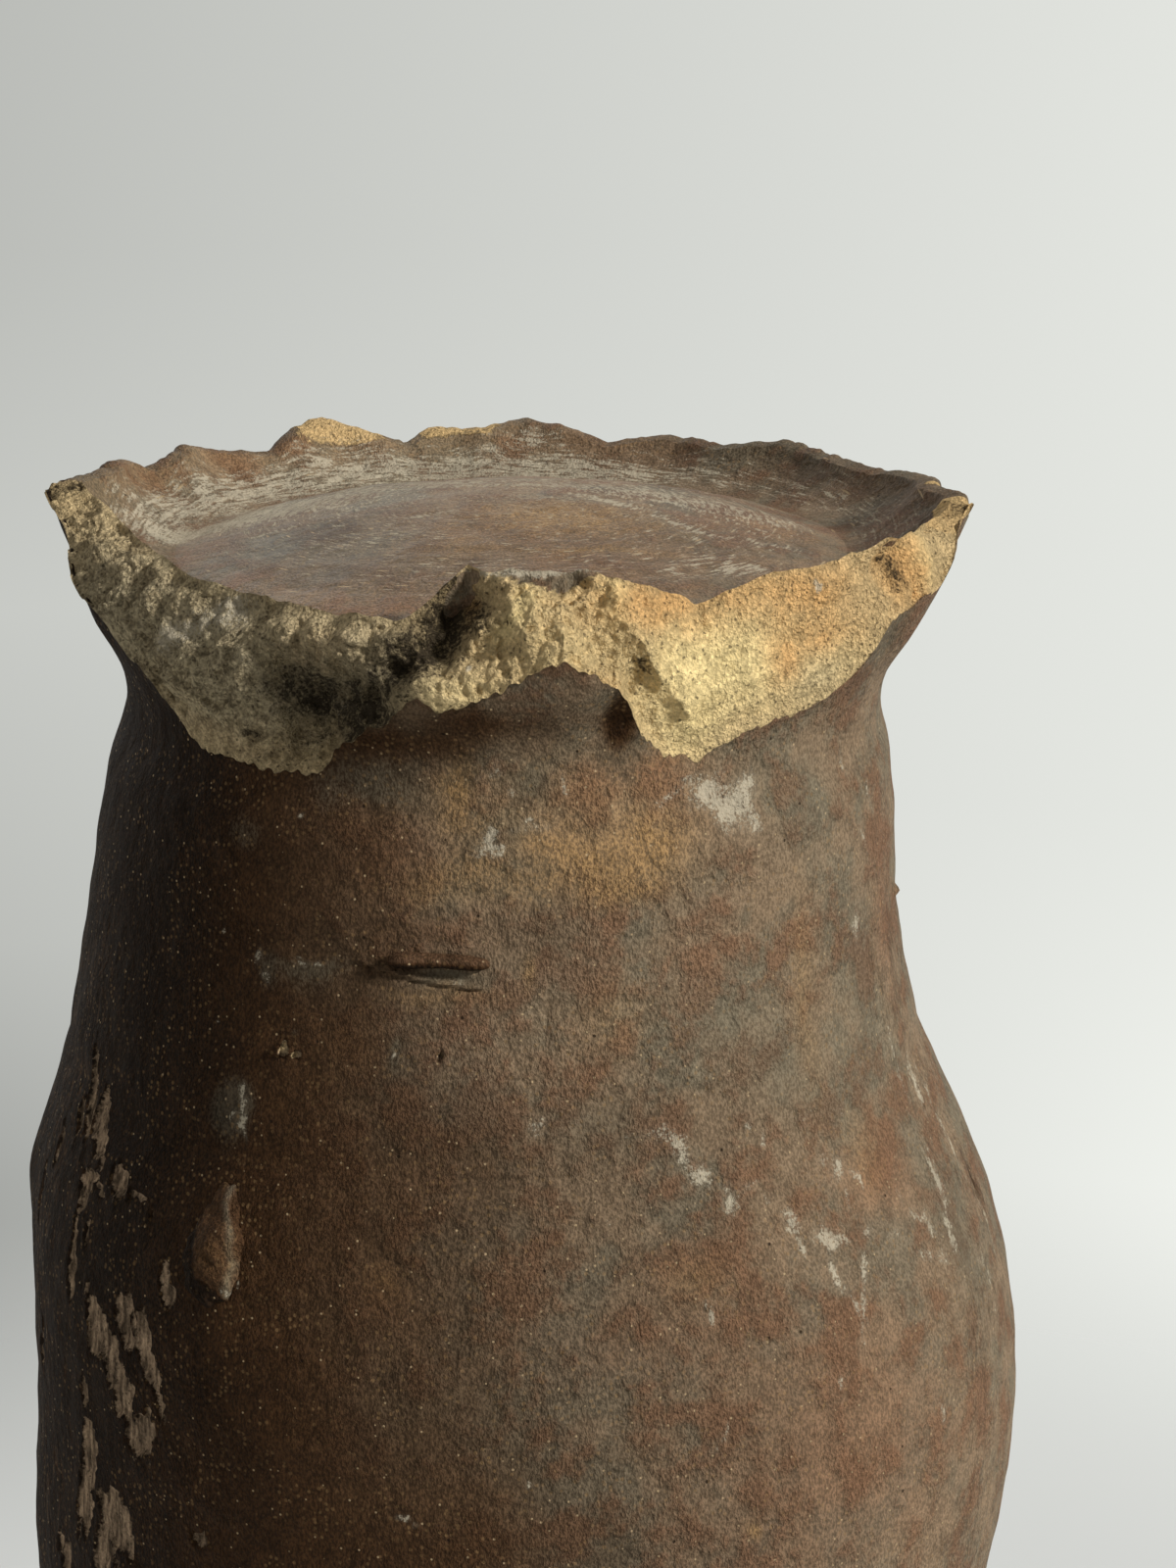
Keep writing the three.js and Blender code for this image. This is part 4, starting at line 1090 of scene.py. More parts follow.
# Swells and gouges of the broken face, as [azimuth, level, width, height, turn, millimetres out]
CRAGS = [
    (-7.5, 236, 5, 8, 0, -1.2), (-6, 229.6, 9, 5, 10, 1.1), (-26, 225.5, 8, 8, 0, -1.3),
    (-16, 225, 9, 7, 0, -0.9), (-12, 232, 5, 3.4, 20, -1.4), (-17, 228.3, 4.5, 1.5, 0, -0.9),
    (-36, 222.3, 2.6, 1.6, 0, -0.7), (15.5, 238, 2.6, 4, 0, 0.8), (11, 232, 4, 5, 0, -0.6),
    (29, 231, 9, 8, 0, 0.4), (60, 236, 3.5, 5, 0, -1.0), (66, 237, 4, 6, 0, 0.8), (-46, 228, 9, 7, 0, 0.8),
    (-62, 233, 8, 5, 20, 0.4), (40, 226, 6, 4, 0, -0.4), (50, 231, 5, 5, 0, 0.4),
]

# Sharp ridges of the broken face, as [azimuth, level, azimuth, level, reach to the left of that way, reach to
# the right, millimetres out]
ARRISES = [
    (-30, 236, -12, 227.5, 3, 0.8, 1.1), (-62, 232, -46, 225, 0.7, 2.2, 0.9),
    (-40, 231.5, -30, 226, 2.5, 0.6, 0.8), (-24, 228, -14, 223.5, 1.8, 0.6, 0.8),
    (35, 234, 52, 238, 0.8, 3, 0.6), (16.2, 234.6, 25.5, 226, 6, 0.9, 1.8),
    (-1, 239.5, 3.5, 233, 3, 0.7, 0.9), (-12.5, 229.3, -7.5, 226.8, 1.8, 0.5, 1),
    (-34, 231.8, -21.5, 229, 3, 0.7, 1.6), (-32.5, 229.8, -31, 222.5, 4, 0.3, -1.1),
    (-66, 237, -50, 231, 2.5, 1.5, 0.7), (-55, 228, -40, 221.5, 2, 0.8, 0.6),
    (63, 238, 65, 233, 0.6, 2, -1), (49, 236, 32, 227.5, 2, 1.5, 0.4),
    (-20, 233.5, -12, 231.8, 1.2, 0.5, 0.8), (-19, 229.6, -13.5, 228.7, 1.2, 0.5, 0.7),
    (-8, 239, -11, 232.5, 0.8, 2, 0.9), (-44, 235, -38, 227, 2, 0.8, 0.6),
    (8, 239, 10, 232, 2.5, 0.8, 0.5), (68, 239, 63, 233, 1.5, 1, 0.5),
]

# Tints of the broken face, among them painted light on lit ridges and painted shadow in hollows, as
# [azimuth, level, width, height, turn, strength]
WARM = [
    (48, 231.5, 11, 5, 0, 0.8), (22, 236.6, 14, 5, -5, 1), (33, 236.6, 10, 4, 0, 0.6),
    (45, 236, 12, 5.5, 0, 1), (-25, 231.6, 8, 4, 10, 0.6), (42, 229.5, 4, 5, 20, 0.85),
    (63.5, 236.5, 6, 9, 0, 1), (-4.7, 237.5, 1, 4, 0, 0.9), (-56, 236, 12, 5, 20, 0.3),
    (-44, 222, 14, 4, -10, 0.5), (11, 229.6, 7, 3, 0, 0.4), (-66, 238, 6, 6, 0, 0.3),
]
# These marks are partly the yellow heart of the clay and partly painted light: the nose, the ridge right of the peak,
# the top of the left part and the broad right-hand face, which the key light strikes.
PALE = [
    (-53, 237, 12, 4, 0, 0.6), (31, 230, 18, 10, 0, 0.9), (29, 230.5, 13, 9, 0, 1),
    (15, 237.5, 2.8, 4.5, 0, 1), (47, 228.5, 12, 7, 0, 0.55), (27, 225, 7, 7, 0, 0.85),
    (2, 236.5, 2.2, 6, -30, 0.8), (-6, 229, 10, 4, 0, 0.55), (66, 237, 5, 6, 0, 0.75),
    (-8.5, 227, 4, 2, 0, 0.7), (8, 234, 12, 8, 0, 0.3),
]
GREY = [
    (-62, 231, 44, 22, 0, 0.95), (-38, 227, 24, 18, 0, 0.85), (-18, 230, 16, 14, 0, 0.75),
    (48, 227, 8, 5, 0, 0.35),
]
# These marks are partly soot and partly painted shadow, most of all the black shadow in the deep hollow under the peak
# of the break.
SOOT_AND_SHADOW = [
    (-28.5, 227.2, 8, 10, 0, 0.7), (-18.5, 225.8, 15, 10, 0, 0.85), (-12, 231.8, 8, 6, 10, 0.85),
    (-7.5, 236, 9, 10, 0, 1), (-36, 222.3, 3, 1.6, 0, 0.7), (-90, 240, 6, 6, 0, 0.8),
    (18, 230.5, 6, 9, -15, 0.6), (12, 232, 5, 5, 0, 0.5), (9, 236, 8, 2.4, 0, 0.5),
    (62, 236.8, 3.2, 8, 15, 0.85), (71, 240, 5, 3, 0, 0.6), (82, 240, 10, 3, 0, 0.7),
    (-60, 224, 12, 6, 0, 0.3), (0, 236.4, 6, 4, 0, 0.45), (2.5, 233, 4, 2, 0, 0.5),
    (-70, 234, 8, 4, 30, 0.4),
]
BREAK_LIME = [
    (5, 240.1, 18, 1, 0, 0.9), (-49, 231, 6.5, 3.8, 20, 0.85), (-42, 233.6, 7, 3.8, 10, 0.8),
    (46, 236.8, 1, 1, 0, 1), (-3.6, 231.3, 0.8, 0.6, 0, 1), (-1.5, 240.2, 4, 0.9, 0, 0.8),
    (9, 240.3, 9, 0.8, 0, 0.7), (-36, 230, 4, 2, 0, 0.4), (-23, 226, 4, 5, 0, 0.3),
]

# Where glaze is left on the break, as [azimuth, level, width, height, turn, strength]
GLAZE_LEFT = [
    (7.5, 240.4, 10, 3.4, 0, 1), (3, 239.8, 4, 2, 0, 0.8), (15, 240.4, 5, 1.4, 0, 0.8),
]

# Where the whole lip is chipped, as [azimuth, level, width, height, turn, strength]
CHIPS = [
    (-153, 242, 14, 8, 0, 1), (-138, 240, 5, 3, 0, 0.9), (-168, 240.5, 9, 5, 0, 1),
    (-173, 240.4, 6, 3, 0, 0.9), (-126, 241.6, 2, 1.6, 0, 0.9), (-112, 242, 5, 2, 0, 0.8),
    (84, 240.4, 7, 5.5, 0, 1), (101, 240.5, 6, 1.6, 0, 0.8),
]


def crest_share(azimuth):
    """How far the frill has dropped from its crests: 0 on one and 1 halfway to the next."""
    number = np.interp(azimuth, CRESTS, np.arange(len(CRESTS)))
    return (1 - np.cos(2 * np.pi * number)) / 2


class FootSection:
    """The section of the foot coil at each azimuth of a row of them, as [radius, level] points."""

    def __init__(self, context, pot, azimuth):
        foot = context.scene.jug_foot
        self.pot = pot
        self.pinched = foot.pinch / MM * crest_share(azimuth)
        self.rounding = foot.rounding / MM
        ring = pot.place(azimuth, 45.0, np.full_like(azimuth, FOOT_PLANE))
        jag = rough(ring, 2.2, 3, 61)
        shifted = azimuth + 0.9 * rough(ring, 6.0, 2, 64)
        lip = FOOT_PLANE - np.interp(azimuth, *np.array(LIP).T) - 0.1 - 0.4 * np.abs(jag)
        rows = np.array(BREAK).T
        outer_rise, inner_radius, inner_depth = (np.interp(shifted, rows[0], values) for values in rows[1:4])
        self.broken = ease(azimuth, BREAK_FROM, BREAK_FROM + 2) * (1 - ease(azimuth, BREAK_TO - 2, BREAK_TO))
        whole_edge = lip - 2 * self.rounding
        self.outer_level = mixed(whole_edge, FOOT_FROM + outer_rise, self.broken)
        self.outer_radius = self.wall(self.outer_level)
        self.teeth = self.broken * (0.3 * jag + 0.4 * rough(ring, 1.7, 2, 68) + 0.4 * rough(ring, 0.7, 2, 66))
        self.nicks = self.broken * (0.3 * jag + 0.5 * rough(ring, 4.0, 2, 62))
        whole_radius = self.wall(lip) - foot.lip_thickness / MM
        self.inner_radius = mixed(whole_radius, inner_radius, self.broken)
        inner_level = mixed(lip - self.rounding / 2, FOOT_PLANE - inner_depth, self.broken)
        self.inner_level = np.minimum(inner_level, FOOT_PLANE - 0.05)

    def wall(self, level):
        reach = ease(level, FOOT_FROM + 8.5, FOOT_PLANE)
        return self.pot.foot_outline(level) - self.pinched * reach

    def outside(self, share):
        """Up the outside from the joint to the outer edge, a share of the way."""
        level = mixed(FOOT_FROM, self.outer_level + self.teeth, share)
        return self.wall(level), level

    def over(self, share):
        """From the outer edge over to the inner one: a round lip, or the straight chord of the break."""
        arch = self.rounding * np.sin(np.pi * share) * (1 - self.broken)
        edge = np.maximum(0, 1 - share / 0.1)
        radius = mixed(self.outer_radius, self.inner_radius, share) + 0.7 * arch
        radius = radius + edge * (self.wall(self.outer_level + self.teeth) - self.outer_radius)
        level = mixed(self.outer_level, self.inner_level, share) + 0.9 * arch + edge * self.teeth
        inner = np.maximum(0, 1 - (1 - share) / 0.12) * self.nicks
        radius = radius + 0.6 * inner
        level = level + inner
        return radius, np.minimum(level, FOOT_PLANE - 0.02)

    def slope(self, share):
        """Down the inside to the trough, steep at first and level at the end."""
        radius = mixed(self.inner_radius + 0.6 * self.nicks, self.pot.base, share)
        top = np.minimum(self.inner_level + self.nicks, FOOT_PLANE - 0.02)
        level = mixed(top, self.pot.trough, share * (2 - share))
        return radius, level


def arris(azimuth, level, radius, ridge):
    """Height of a sharp ridge along a line. On either side it falls off exponentially with the distance,
    over that side's own reach, and past the ends of the line it fades out."""
    from_azimuth, from_level, to_azimuth, to_level, left, right, height = ridge
    step = np.radians(1) * radius
    across = (azimuth - from_azimuth) * step
    up = level - from_level
    run = (to_azimuth - from_azimuth) * step
    rise = to_level - from_level
    size = np.hypot(run, rise)
    along = (across * run + up * rise) / size
    beside = (across * rise - up * run) / size
    past = np.maximum(0, np.maximum(-along, along - size))
    reach = np.where(beside < 0, left, right)
    return height * np.exp(-np.abs(beside) / reach - (past / 1.2) ** 2)


def break_profile(azimuth, share, points):
    """Millimetres that the broken face stands out from its chord by its table: straight between the stops
    of a section and between the azimuths, both shifted a little by noise."""
    rows = np.array(BREAK).T
    shifted = azimuth + 1.1 * rough(points, 2.6, 2, 67)
    moved = np.clip(share + 0.05 * noise(points, 3.0, 69), 0, 1)
    heights = [0 * shifted] + [np.interp(shifted, rows[0], values) for values in rows[4:]] + [0 * shifted]
    total = np.zeros(share.shape)
    for i in range(len(heights) - 1):
        start, end = PROFILE_STOPS[i:i + 2]
        part = (moved - start) / (end - start)
        inside = (moved >= start) & ((moved < end) | (end == 1))
        total = np.where(inside, mixed(heights[i], heights[i + 1], part), total)
    return total


def break_relief(settings, azimuth, level, radius, points):
    """Millimetres that the broken face stands out from its profile: named swells, gouges and ridges, then
    scalloped flakes with sharp rims, crags at three sizes, and crumbs of sand. The right is smoother."""
    placed = strayed(azimuth, level, radius, points, 0.45, 3.0, 81)
    height = np.full(level.shape, -0.35)
    for mark in CRAGS:
        height = height + mark[5] * np.exp(-oval_distance(*placed, radius, mark) ** 2 * 1.2)
    for ridge in ARRISES:
        height = height + arris(*placed, radius, ridge)
    coarse = 1.3 - 0.75 * ease(azimuth, 8, 26)
    flakes = crumbs(points + 0.8 * noise(points, 2.4, 73)[..., None], 3.6, 71) ** 2
    crags = 0.5 * rough(points, 4.6, 2, 75) + 0.5 * rough(points, 1.7, 3, 77)
    sand = 0.6 * (0.45 - crumbs(points, 0.95, 83)) + 0.2 * rough(points, 0.75, 2, 87)
    return height + coarse * (settings.roughness / MM * (crags + 1.1 * (flakes - 0.35)) + 0.85 * sand)


# Marks on the base and inside the foot, as [x, y, width, height, turn, strength] in millimetres
TOP_LIME = [
    (-29, 9, 15, 8, 25, 0.9), (-22, 6, 15, 4, 14, 0.7), (-30, 17, 9, 8, 30, 0.7),
    (14, 6, 26, 8, -10, 0.75), (28, 4, 12, 10, 0, 0.45), (-5, 17, 26, 5, 0, 0.45), (-36, 5, 12, 9, 0, 0.8),
    (-27, 10, 20, 10, 20, 0.6), (-21, 3, 18, 5, 12, 0.55), (-9, 12, 22, 6, 4, 0.5),
    (-25.4, -4.6, 4.5, 1, 12, 0.8), (-9.4, -8.1, 6, 1, 8, 0.8), (-9, 7.5, 9, 2, -5, 0.6),
    (0, 7, 12, 2, -8, 0.75), (9.7, -2, 11, 2.2, -28, 0.8), (17.5, -8, 9, 1.8, -30, 0.75),
    (26, -9, 9, 1.6, 10, 0.7), (16, 1, 12, 1.4, -15, 0.65), (25, -3, 9, 1.2, -20, 0.6),
    (22, -18.3, 8, 5, 10, 0.75), (17, -23, 7, 3, 0, 0.5), (-24, 5, 8, 4, 30, 0.35),
    (-18, 12, 14, 8, 20, 0.45), (-14, -14, 12, 6, 10, 0.3), (-4, 12, 20, 8, 0, 0.4),
    (14, 12, 16, 6, -20, 0.35), (-16, -1, 14, 6, 10, 0.4), (2, -2, 12, 4, 0, 0.35),
    (1, 44.6, 7, 2.2, 0, 0.8), (-20, 24, 16, 8, -30, 0.35),
]
TOP_OCHRE = [
    (4, -10, 20, 12, 0, 0.85), (8, -19.2, 16, 1.6, 8, 0.75), (-6, -18, 12, 6, 0, 0.3),
    (27, -2, 12, 9, 0, 0.3), (9, -6, 12, 5, -20, 0.35),
]
TOP_RUST = [
    (26, -2, 12, 10, 0, 0.75), (2, -15, 24, 14, 0, 0.4), (-34, 30, 6, 5, 0, 0.6), (-28, 36, 5, 5, 0, 0.6),
]


def top_finish(azimuth, level, radius, points):
    """Finish of the underside of the base and the inside of the frill: thin wash, lime in the trough and
    along the turning marks, orange where the wash is thinnest, painted shade on the inner wall of the frill
    and in the trough, most on the right, and darker towards the front of the dome."""
    spot = points[..., :2] + 0.7 * np.stack([rough(points, 5.0, 3, 95), rough(points, 5.0, 3, 98)], axis=-1)
    east, north = spot[..., 0], spot[..., 1]
    slow = rough(points, 14, 3, 91)
    azimuth = np.broadcast_to(azimuth, level.shape)
    behind = ease(-azimuth, 88, 112) + ease(azimuth, 138, 170)
    trough = np.exp(-((radius - 40.6 - 1.2 * slow) / 3.2) ** 2)
    wall = ease(radius, 40.5, 45)
    right = ease(east, -12, 24)
    dome = 1 - ease(radius, 28, 36)
    lime = 1 - (1 - flat_spots(east, north, TOP_LIME)) * (1 - 0.75 * trough * behind) * (1 - 0.25 * trough)
    return {
        # Painted shade on the inner wall of the frill and in the trough, strongest on the right, which faces away from
        # the key light. The rest is uneven tone and a darker front half of the dome.
        "dark": np.clip(wall * (0.04 + 0.18 * right) + 0.25 * ease(slow, 0.1, 0.9)
                        + 0.15 * (1 - dome) * right + 0.25 * dome * ease(-north, -6, 16), 0, 1),
        "ochre": np.clip(flat_spots(east, north, TOP_OCHRE) + 0.2 * wall * (1 - right), 0, 1),
        "rust": np.clip(flat_spots(east, north, TOP_RUST) + 0.25 * ease(-slow, 0, 0.8), 0, 1),
        "ash": np.clip(0.35 * trough * behind + 0.35 * dome * ease(-east, -4, 24), 0, 1),
        "lime": np.clip(lime, 0, 1),
        "streak": np.clip(dome + 0.8 * trough + 0.3 * wall, 0, 1),
    }


def turned_places(points):
    """Places in which noise is drawn out round the middle of the base: the distance from it, then x and y
    drawn in towards a small circle."""
    east = points[..., 0] + 3
    north = points[..., 1] - 2
    off = np.hypot(east, north) + 1e-6
    pull = 5 * (1 - np.exp(-off / 5)) / off
    return np.stack([off, east * pull, north * pull], axis=-1) * MM


class JUG_OT_pinch_foot(Operator):
    """Makes the foot coil with its thumbed frill and its broken front"""
    bl_idname = "jug.pinch_foot"
    bl_label = "Pinch the foot"

    def execute(self, context):
        """Each column of the grid is the closed section at one azimuth: up the outside, over the lip or the
        broken face, down the inside and along the seat."""
        pot = Pot(context.scene)
        azimuth = azimuths(800, 0.55)
        section = FootSection(context, pot, azimuth)
        up = np.linspace(0, 1, 26)[:, None]
        over = np.linspace(0, 1, 83)[1:, None]
        down = np.linspace(0, 1, 14)[1:, None]
        seat = np.linspace(pot.trough, FOOT_FROM, 4)[1:, None] + 0 * azimuth
        parts = [section.outside(up), section.over(over), section.slope(down), (np.full_like(seat, pot.base), seat)]
        radius = np.concatenate([np.broadcast_to(part[0], (len(part[0]), azimuth.size)) for part in parts])
        level = np.concatenate([part[1] for part in parts])
        kind = np.repeat([0, 1, 2, 3], [len(part[1]) for part in parts])[:, None]
        azimuth = np.broadcast_to(azimuth, level.shape)
        bare = pot.place(azimuth, radius, level)
        broken = section.broken[None, :] * (kind == 1)
        share = np.concatenate([np.zeros((len(up), 1)), over, np.ones((len(down) + 3, 1))]) + 0 * azimuth
        calm = np.minimum(1, np.minimum(share, 1 - share) * 9 + 0.14)
        rise = (section.inner_level - section.outer_level)[None, :]
        run = (section.outer_radius - section.inner_radius)[None, :]
        size = np.hypot(rise, run)
        relief = break_relief(context.scene.jug_foot, azimuth, level, radius, bare)
        relief = broken * (calm * relief + break_profile(azimuth, share, bare))
        glazed = wall_relief(pot, azimuth, level, radius, bare) * (kind < 2) * (1 - broken)
        inside = 0.12 * rough(bare, 5.0, 3, 51) * ease(radius, pot.base, pot.base + 1.5)
        new_level = np.minimum(level + relief * run / size + inside * (kind == 2), FOOT_PLANE)
        new_radius = radius + glazed + relief * rise / size
        flush = section.wall(new_level) - 0.1
        new_radius = np.where(broken > 0.5, np.minimum(new_radius, flush), new_radius)
        points = pot.place(azimuth, new_radius, new_level)
        finish = self.finish(azimuth, level, radius, bare, kind, broken, relief, share, section)
        mesh = skin("foot_ring", points, finish)
        turned = np.where((kind == 0)[..., None], bare * MM, turned_places(bare))
        add_vectors(mesh, "turned", turned)
        add_piece("foot_ring", "_thumbed", mesh, foot_clay())
        return {"FINISHED"}

    def finish(self, azimuth, level, radius, points, kind, broken, relief, share, section):
        outside = wall_finish(azimuth, level, radius, points)
        top = top_finish(azimuth, level, radius, points)
        inner = np.clip((kind == 2) + (kind == 1) * share * (1 - section.broken[None, :]), 0, 1)
        mix = {key: mixed(outside[key], top[key], inner) for key in top}
        placed = strayed(azimuth, level, radius, points, 0.6, 3.0, 85)
        chips = patches(*placed, radius, CHIPS) * ease(level, FOOT_PLANE - 5, FOOT_PLANE - 3)
        glazed = 1 - patches(*placed, radius, GLAZE_LEFT)
        mix["bare"] = np.maximum(broken * glazed, np.maximum(outside["bare"] * (kind == 0), chips))
        mix["flaked"] = outside["flaked"] * (1 - broken) * (chips < 0.1)
        mix["lime"] = mixed(mix["lime"], soft_spots(*placed, radius, BREAK_LIME), broken)
        mix["streak"] = mixed(mix["streak"], 0, broken)
        mix["warm"] = np.maximum(soft_spots(*placed, radius, WARM), 0.35 * (chips > 0.1))
        mix["pale"] = np.maximum(soft_spots(*placed, radius, PALE), 0.2 * (chips > 0.1))
        mix["grey"] = soft_spots(*placed, radius, GREY)
        # Painted shade: the break is darker where its relief sinks, on top of the dark marks of the break.
        hollow_shade = ease(-relief, 0.4, 2.2)
        mix["soot"] = np.maximum(np.maximum(soft_spots(*placed, radius, SOOT_AND_SHADOW), 0.5 * hollow_shade) * broken, 0.35 * (chips > 0.1))
        return mix


class JUG_OT_sag_base(Operator):
    """Makes the sagging base, whose underside is the dome inside the foot"""
    bl_idname = "jug.sag_base"
    bl_label = "Sag the base"

    def execute(self, context):
        """The dome falls with the square of the radius, and carries turning marks: ripples with the radius
        about a middle a little off centre."""
        pot = Pot(context.scene)
        foot = context.scene.jug_foot
        sag = foot.sag / MM
        thick = foot.base_thickness / MM
        inside = pot.base - foot.skirt / MM
        dome = lambda r: pot.trough + sag * (1 - (r / pot.base) ** 2)
        shown = pot.base * (1 - np.linspace(1, 0, 112) ** 1.15)[1:]
        hidden = np.linspace(0.03, 0.85, 10) * inside
        rows = [(r, dome(r) - thick, 0) for r in hidden]
        rows += [(inside, dome(inside) - 1.6 * thick, 0), (inside, FOOT_FROM, 0), (pot.base, FOOT_FROM, 0)]
        rows += [(r, dome(r), 1) for r in shown[::-1]]
        radius, level, top = (column[:, None] for column in np.array(rows, float).T)
        azimuth, level, radius = np.broadcast_arrays(azimuths(600)[None, :], level, radius)
        points = pot.place(azimuth, radius, level)
        calm = 1 - ease(radius, pot.base - 1.5, pot.base)
        turned = turned_places(points)
        off = turned[..., 0] / MM
        ripple = 0.025 * np.sin(off * 1.9 + 1.5 * noise(points, 12, 33)) + 0.2 * rough(points, 9, 3, 35)
        scored = 0.05 * noise(turned / MM, 0.9, 39)
        level = level + top * calm * (ripple + scored + 0.05 * rough(points, 1.6, 2, 37))
        finish = top_finish(azimuth, level, radius, points)
        mesh = skin("base_disc", pot.place(azimuth, radius, level), finish, closed=False)
        add_vectors(mesh, "turned", turned)
        add_piece("base_disc", "_sagged", mesh, base_wash())
        return {"FINISHED"}


# The handle

def smooth_path(stops, count):
    """Points along a Catmull-Rom curve through stops, evenly spread over its length."""
    stops = np.array(stops, float)
    before = np.concatenate([[2 * stops[0] - stops[1]], stops[:-1]])
    after = np.concatenate([stops[1:], [2 * stops[-1] - stops[-2]]])
    tangent = (after - before) / 2
    number = np.linspace(0, len(stops) - 1, 800)
    i = np.minimum(number.astype(int), len(stops) - 2)
    t = (number - i)[:, None]
    curve = (stops[i] * (2 * t ** 3 - 3 * t ** 2 + 1) + tangent[i] * (t ** 3 - 2 * t ** 2 + t)
             + stops[i + 1] * (3 * t ** 2 - 2 * t ** 3) + tangent[i + 1] * (t ** 3 - t ** 2))
    run = np.concatenate([[0], np.cumsum(np.linalg.norm(np.diff(curve, axis=0), axis=1))])
    even = np.linspace(0, run[-1], count)
    return np.stack([np.interp(even, run, curve[:, k]) for k in range(curve.shape[1])], axis=-1)


class JUG_OT_pull_handle(Operator):
    """Makes the strap handle behind the jug"""
    bl_idname = "jug.pull_handle"
    bl_label = "Pull the handle"

    def execute(self, context):
        """The section is a rounded strap with a groove down its outer face, carried along a smooth path in
        the plane behind the pot and widened towards both ends, where it is pressed on the wall."""
        pot = Pot(context.scene)
        trim = context.scene.jug_trim
        low = NECK_FROM + 9
        high = SHOULDER_FROM + 32
        reach = context.scene.jug_body.neck / MM + trim.strap_standoff / MM
        stops = [(pot.outer(low) - 3.5, low - 3), (reach - 12, low + 2), (reach - 3, low + 12), (reach, low + 28),
                 (reach - 0.5, high - 28), (reach - 3, high - 11), (pot.outer(high) - 3.5, high + 3)]
        path = smooth_path(stops, 220)
        tangent = np.gradient(path, axis=0)
        tangent = tangent / np.linalg.norm(tangent, axis=1, keepdims=True)
        outward = np.stack([tangent[:, 1], -tangent[:, 0]], axis=-1)
        turn = 2 * np.pi * np.arange(120) / 120
        across = np.sign(np.cos(turn)) * np.abs(np.cos(turn)) ** 0.72
        thick = np.sign(np.sin(turn)) * np.abs(np.sin(turn)) ** 0.8
        groove = trim.strap_groove / MM * np.exp(-(across / 0.34) ** 2) * (np.sin(turn) > 0)
        end = np.abs(np.linspace(-1, 1, len(path)))[:, None] ** 5
        half_width = trim.strap_width / MM / 2 * (1 + 0.3 * end)
        half_thick = trim.strap_thickness / MM / 2 * (1 - 0.04 * end)
        x = across * half_width
        out = thick * half_thick - groove
        y = path[:, :1] + outward[:, :1] * out
        z = path[:, 1:] + outward[:, 1:] * out
        points = np.stack([x + pot.lean(z), y, z], axis=-1)
        lump = 0.14 * rough(points, 7, 3, 101) + 0.04 * rough(points, 1.8, 2, 105)
        y = y + lump * outward[:, :1] * np.sign(out)
        z = z + lump * outward[:, 1:] * np.sign(out)
        points = np.stack([x + pot.lean(z), y, z], axis=-1)[:, ::-1]
        azimuth = np.full(points.shape[:2], 180.0)
        finish = wall_finish(azimuth, points[..., 2], np.full(points.shape[:2], 45.0), points)
        worn = ease(thick * (1 - groove), 0.3, 1.0)[::-1][None, :]
        finish["ochre"] = np.clip(finish["ochre"] * 0.5 + 0.15 * worn, 0, 1)
        mesh = skin("handle_strap", points, finish, closed=False)
        add_piece("handle_strap", "_pulled", mesh, iron_wash())
        return {"FINISHED"}


# What the kiln dropped on the wall. The lump's ridge is [up, across] from its middle.

LUMP_AZIMUTH = -32.6
LUMP_LEVEL = STEM_FROM - 9
LUMP_RIDGE = [
    (-4.5, 2.6), (-1.1, 3.1), (0.2, 2.6), (2.2, 1.8), (4.2, 0.6),
]

def on_wall(pot, azimuth, level, across, out, up):
    """Points given across, out from and up the wall at a place on it, turned to lie on the wall there."""
    tilt = math.atan2(float(pot.outer(level - 1.0) - pot.outer(level + 1.0)), 2.0)
    away = out * math.cos(tilt) - up * math.sin(tilt)
    rise = out * math.sin(tilt) + up * math.cos(tilt)
    radius = float(pot.outer(level)) + away
    turn = math.radians(azimuth)
    x = across * math.cos(turn) + radius * math.sin(turn) + float(pot.lean(level))
    y = across * math.sin(turn) - radius * math.cos(turn)
    return np.stack([x, y, level + rise], axis=-1)


